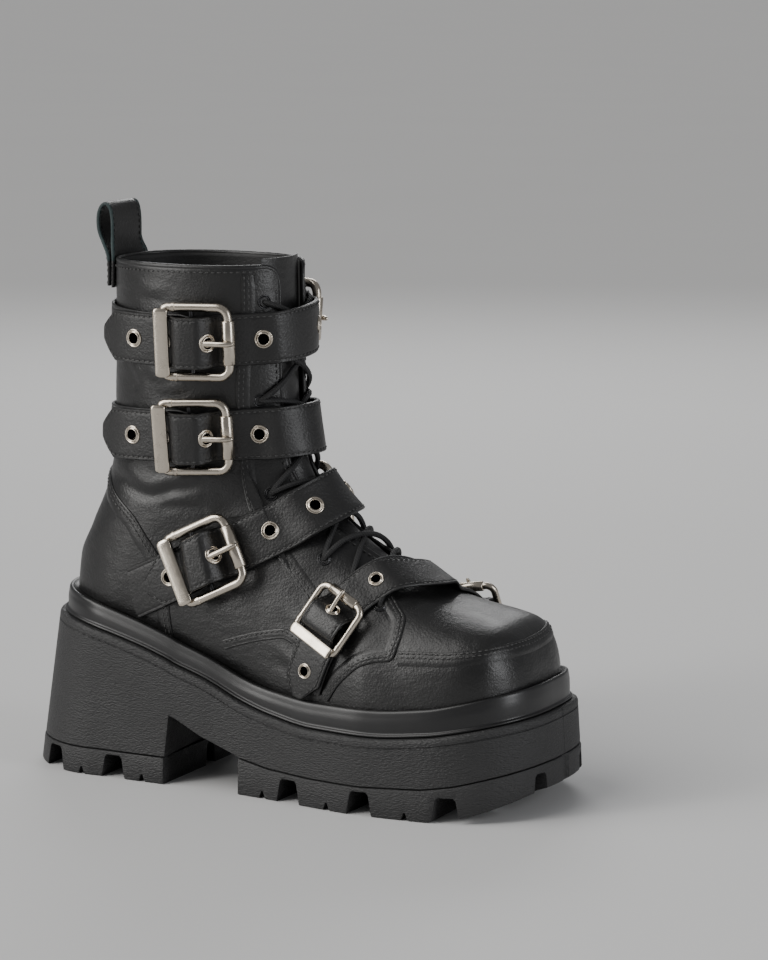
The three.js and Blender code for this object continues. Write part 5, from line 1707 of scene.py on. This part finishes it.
    def build_anchor(self, word: str, side: Fastening) -> None:
        """The short strap that holds a buckle, turned round its middle bar."""
        place = self.place_of(side)
        course, size = self.course, self.course.size
        thick = course.leather - 0.5
        behind = side.q + side.way * size * (7 - self.bar_at)
        rows = []
        shares = np.array(LANES)
        for q in np.linspace(side.anchor, behind, max(6, int(abs(side.anchor - behind) / 2.2))):
            spots, out = self.line.row(q, shares)
            rows.append((spots + out * (self.clear - 0.15 + self.line.hump(q)), out))
        turned = np.array(place)[:3, :3]
        hand = math.copysign(1, float(np.dot(turned[:, 1], self.line.normal))) * (self.line.half - 1.2) / size
        centre = np.array([self.bar_at, 0, self.rise])
        for turn in np.radians(np.linspace(-90, 90, 13)):
            ray = np.array([math.cos(turn), 0, math.sin(turn)])
            spots = centre + ray * self.turn + np.outer(shares * hand, (0, 1, 0))
            rows.append((moved(spots, place), turned @ -ray / size))
        spots = centre + np.array([-5, 0, self.turn]) + np.outer(shares * hand, (0, 1, 0))
        rows.append((moved(spots, place), turned @ np.array([0, 0, -1]) / size))
        work = Workpiece(f"holding_strap_{course.name}_{word}")
        self.band(work, rows, thick)
        finished(work.made([self.finishes.strap]), "leather_strap", f"anchor_{course.name}_{word}")

    def build(self) -> None:
        """The strap with all that is on it."""
        self.build_band()
        for word, side in self.fastenings:
            self.build_buckle(word, side)
            self.build_anchor(word, side)


# ---------------------------------------------------------------- laces, loop and zip


@dataclass
class Laces:
    """The round lace and its blackened eyelets."""

    finishes: Finishes
    last: Last
    rows: tuple[float, ...] = (8.15, 9.2, 10.25, 11.5, 13.3, 15.6, 17.7, 19.6, 21.5)
    radius: float = 1.45

    def over(self, u: float, across: float, out: float) -> np.ndarray:
        """A place over the upper, across from its ridge."""
        return self.last.off(u, self.last.angle_across(u, across), out)

    @staticmethod
    def reach(u: float, side: int) -> float:
        """How far from the ridge a row's eyelets are, on the outer (-1) or inner (1) side."""
        rows = {-1: (34, 30, 26.5, 24, 22, 21.3), 1: (21, 20, 19.5, 19.5, 20.5, 21.3)}
        return float(np.interp(u, [8.15, 9.2, 10.25, 11.5, 13.3, 22], rows[side]))

    def build_crossings(self) -> None:
        """Every pass of the lace from eyelet to eyelet."""
        work = Workpiece("lace_cord")
        strands = [(low, high, side) for low, high in zip(self.rows, self.rows[1:]) for side in (1, -1)]
        strands.append((self.rows[0] - 0.02, self.rows[0] + 0.02, 1))
        for low, high, side in strands:
            t = np.linspace(0, 1, 34)
            u = low + (high - low) * t
            across = side * (self.reach(low, side) * (1 - t) - self.reach(high, -side) * t)
            sunk = smoothstep(np.abs(1 - 2 * t), 0.2, 0.8)
            middle = 1.0 if side > 0 else -0.6
            outside = np.clip((np.abs(across) - 18) / 10, 0, 1)
            out = middle + (self.radius + 0.8 - middle) * sunk - 1.7 * outside
            ends = smoothstep(np.abs(1 - 2 * t), 0.93, 1.0)
            out = out * (1 - ends) - 0.4 * ends
            if low + 0.1 > high:
                out = np.full_like(t, 0.2) + 1.9 * sunk - 2.4 * ends
            line = np.array([self.over(*spot) for spot in zip(u, across, out)])
            work.wire(spaced(line, 1.5), self.radius, 8)
        nodes = [f"lace_crossing_{i + 1}" for i in range(len(self.rows) - 1)]
        finished(work.made([self.finishes.lace]), "lace", *nodes)

    def build_eyelets(self) -> None:
        """The blackened rings that the lace goes through."""
        work = Workpiece("lace_eyelets")
        for u in self.rows:
            for side in (-1, 1):
                across = side * self.reach(u, side)
                low, high = self.over(u, across, 0.0), self.over(u, across, 1.0)
                beside = self.over(u, across * 1.02, 0.0) - low
                out = unit(high - low)
                x = unit(beside - out * np.dot(beside, out))
                place = basis(x, np.cross(out, x), out, low)
                work.turned([(r * 0.86, h * 0.8) for r, h in EYELET], place, 20)
        finished(work.made([self.finishes.black_metal_and_bar_shade], crisp=METAL_SHARP), "zip_metal")

    def build(self) -> None:
        """Lace and eyelets."""
        self.build_crossings()
        self.build_eyelets()


@dataclass
class PullLoop:
    """The strip at the back of the collar, sewn down and turned over into a loop."""

    finishes: Finishes
    last: Last
    thick: float = 1.5
    cut_edge: float = 13.0  # beyond this the strip's edge shows its dyed side
    route: tuple[tuple[float, float], ...] = (
        (248, 1.9), (254, 1.8), (260, 1.7), (268, 1.6), (276, 1.2), (284, 1.4), (289, 2.6), (291, 5), (289.5, 7.6),
        (285, 9.3), (278, 9), (270, 6), (264, 4.2), (256, 3.8), (249, 3.9),
    )

    def spread(self, z: float, k: float, out: float) -> np.ndarray:
        """A place on the strip at a height, a share across and a distance off the boot."""
        u = COLLAR_U - (266 - z) / 23 if z < 266 else COLLAR_U + (z - 266) / 34
        curved = self.last.off(u, np.pi + k * 0.42, out)
        rigid = np.array([float(self.last.table.smooth(u)[0]) - out, -k * 13.5, curved[2]])
        return curved + (rigid - curved) * float(smoothstep(z, COLLAR_Z - 2, COLLAR_Z + 12)) * 0.8

    def build(self) -> None:
        """The loop with its cut edges and stitches."""
        line = curve_through(self.route, 1.1)
        way = unit(np.gradient(line, axis=0))
        shares = np.array([-1, -0.985, -0.93, -0.87, -0.8, -0.5, 0, 0.5, 0.8, 0.87, 0.93, 0.985, 1])
        groove = 0.16 * np.exp(-(((np.abs(shares) - 0.87) / 0.04) ** 2))
        half = np.where(np.abs(shares) > 0.99, 0.45, 1.0) * self.thick / 2 - groove

        def face(places: Sequence[float], over: Sequence[float]) -> np.ndarray:
            """Places beside the strip's middle, for each share across it a distance off."""
            return np.array([
                [self.spread(z - h * tx, k, out + h * tz) for k, h in zip(places, over)]
                for (z, out), (tz, tx) in zip(line, way)
            ])

        work = Workpiece("pull_loop_leather")
        work.close(work.sheet(np.concatenate([face(shares, half), face(shares, -half)[:, ::-1]], axis=1), around=True))
        for face_ in work.bm.faces:
            flat = face_.calc_center_median()
            at_edge = abs(flat.y / MILLIMETRE + ORIGIN[1]) > self.cut_edge
            face_.material_index = int(at_edge and flat.z > (COLLAR_Z - 1) * MILLIMETRE)
        finished(work.made([self.finishes.strap, self.finishes.teal]), "leather_strap", "pull_loop")
        thread = Workpiece("pull_loop_stitching")
        for k in (-0.87, 0.87):
            for sign in (1.0, -1.0):
                spots, outs = (face([k], [sign * over])[:, 0] for over in (0.7, 1.7))
                thread.stitches(spots, unit(outs - spots))
        finished(thread.made([self.finishes.thread]), "lace")


@dataclass
class Zip:
    """The zip on the inner side: tapes, teeth and the leather edges beside them."""

    finishes: Finishes
    last: Last
    top_x: float = 57.0
    bottom_x: float = 74.0
    bottom_z: float = 112.0
    slider_z: float = 251.0
    fold: tuple[tuple[float, float], ...] = (  # the leather edge's section, aside and out
        (2.6, -0.8), (2.55, 0.5), (2.9, 0.95), (3.6, 1.05), (4.6, 0.9), (5.6, 1.0), (8.0, 0.7), (11.0, -0.4),
    )

    def place(self, z: float, across: float, out: float) -> tuple[np.ndarray, np.ndarray, np.ndarray]:
        """A place over the zip's line, with the ways up and out."""
        def at(height: float, aside: float) -> np.ndarray:
            """The face beside the zip's line at a height."""
            t = (COLLAR_Z - height) / (COLLAR_Z - self.bottom_z)
            x = self.top_x + (self.bottom_x - self.top_x) * t + aside
            return self.last.meet(np.array([x, 200.0, height]), np.array([x, 0.0, height]))

        origin = at(z, 0)
        up = unit(at(z + 3, 0) - at(z - 3, 0))
        side = at(z, 4) - origin
        side = unit(side - up * np.dot(side, up))
        away = np.cross(up, side)
        away = -away if away[1] < 0 else away
        return origin + side * across + away * out, up, away

    def build_tapes(self) -> None:
        """The woven tapes with the folded leather edges over them."""
        heights = np.linspace(self.bottom_z, COLLAR_Z - 3.2, 80)
        tape = Workpiece("zip_tape")
        lanes = [(-2.45, -0.6), (-2.45, 0.32), (-0.6, 0.36), (0.6, 0.36), (2.45, 0.32), (2.45, -0.6)]
        tape.close(tape.sheet(np.array([[self.place(z, a, o)[0] for a, o in lanes] for z in heights]), around=True))
        finished(tape.made([self.finishes.tape]), "zip_tape", "zip_chain")

        fold, thread = Workpiece("zip_leather_edges"), Workpiece("zip_stitching")
        for s in (-1, 1):
            rows = [[self.place(z, s * a, o)[0] for a, o in self.fold] for z in heights]
            fold.close(fold.sheet(np.array(rows), around=True))
            line, _, out = (np.array(v) for v in zip(*(self.place(z, s * 4.6, 0.9) for z in heights)))
            thread.stitches(line, out)
        finished(fold.made([self.finishes.upper]), "leather_upper")
        finished(thread.made([self.finishes.thread]), "lace")

    def build_teeth(self) -> None:
        """Two rows of small teeth that mesh along the middle."""
        work = Workpiece("zip_teeth")
        for index, z in enumerate(np.arange(self.bottom_z + 2, COLLAR_Z - 6, 1.35)):
            if abs(z - self.slider_z) < 7:
                continue
            spot, up, away = self.place(float(z), 0.55 if index % 2 else -0.55, 0.75)
            place = basis(np.cross(up, away), up, away, spot)
            work.block((2.3, 0.95, 0.9), place)
        finished(work.made([self.finishes.black_metal_and_bar_shade]), "zip_metal")

    def build(self) -> None:
        """Tapes, folded edges and teeth."""
        self.build_tapes()
        self.build_teeth()


# ---------------------------------------------------------------- studio


@dataclass
class Studio:
    """Floor, lights and camera."""

    camera_at: tuple[float, float, float] = (0.78814, -1.47738, 0.43396)
    pitch: float = 9.516
    yaw: float = 26.644
    focal: float = 83.75
    sensor: float = 24.0
    aim: tuple[float, float, float] = (0, 0, 0.14)  # the place that the panels face

    def floor(self) -> None:
        """A wide pale floor."""
        bm = bmesh.new()
        bmesh.ops.create_grid(bm, x_segments=4, y_segments=4, size=34.0)
        mesh = bpy.data.meshes.new("floor")
        bm.to_mesh(mesh)
        bm.free()
        mesh.materials.append(Paint("floor paint").material())
        placed("floor", mesh)

    def camera(self) -> None:
        """The camera at three-quarter height on the outer side."""
        data = bpy.data.cameras.new("camera")
        data.sensor_fit, data.sensor_height, data.lens = "VERTICAL", self.sensor, self.focal
        data.clip_end = 50
        turn = (math.radians(90 - self.pitch), 0, math.radians(self.yaw))
        bpy.context.scene.camera = placed("camera", data, self.camera_at, turn)

    def light(self, name: str, spot: tuple, size: tuple, power: float, colour: tuple = (1, 1, 1)) -> None:
        """One soft panel that faces the boot."""
        data = bpy.data.lights.new(name, "AREA")
        data.shape, data.size, data.size_y, data.energy, data.color = "RECTANGLE", *size, power, colour
        placed(name, data, spot, (Vector(self.aim) - Vector(spot)).to_track_quat("-Z", "Y").to_euler())

    def sky(self, spot: tuple, spread: float, power: float, colour: tuple) -> None:
        """A wide far light that falls evenly on the whole floor."""
        data = bpy.data.lights.new("sky", "SUN")
        data.angle, data.energy, data.color = math.radians(spread), power, colour
        placed("sky", data, turn=Vector(spot).to_track_quat("Z", "Y").to_euler())

    def build(self) -> None:
        """All of the studio."""
        self.floor()
        self.camera()
        self.sky((-1.1, -0.9, 1.5), 50, 1.9, (1.0, 0.985, 0.96))
        self.light("key", (-0.95, -1.2, 0.62), (0.4, 1.1), 11, (1.0, 0.985, 0.96))
        self.light("side", (1.7, -0.15, 0.6), (0.4, 1.1), 11, (0.97, 0.98, 1.0))
        self.light("back", (-0.7, 1.6, 1.1), (1.0, 0.5), 10)
        world = bpy.data.worlds.new("studio")
        world.use_nodes = True
        ground = world.node_tree.nodes["Background"]
        ground.inputs[0].default_value = (0.74, 0.745, 0.76, 1)
        ground.inputs[1].default_value = 0.32
        bpy.context.scene.world = world


def main() -> None:
    """Builds the boot piece by piece."""
    logging.basicConfig(level=logging.INFO, format="%(message)s")
    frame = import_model()
    finishes = Finishes()
    last = Last()
    studio, sole = Studio(), Sole(finishes)
    studio.build()
    LOG.info("studio made")
    sole.build()
    LOG.info("sole made")
    Upper(finishes, last, sole).build()
    LOG.info("upper made")
    for course in COURSES:
        Strap(finishes, last, course).build()
        LOG.info("strap %s made", course.name)
    Laces(finishes, last).build()
    PullLoop(finishes, last).build()
    Zip(finishes, last).build()
    for node in ("zip_slider", "zip_pull"):
        dress(frame["nodes"][node], finishes.black_metal_and_bar_shade)
    LOG.info("laces, loop and zip made")


def dress(node: bpy.types.Object, finish: bpy.types.Material) -> None:
    """Gives one of the frame's own solids a finish."""
    for slot in node.material_slots:
        slot.material = finish


if __name__ == "__main__":
    main()
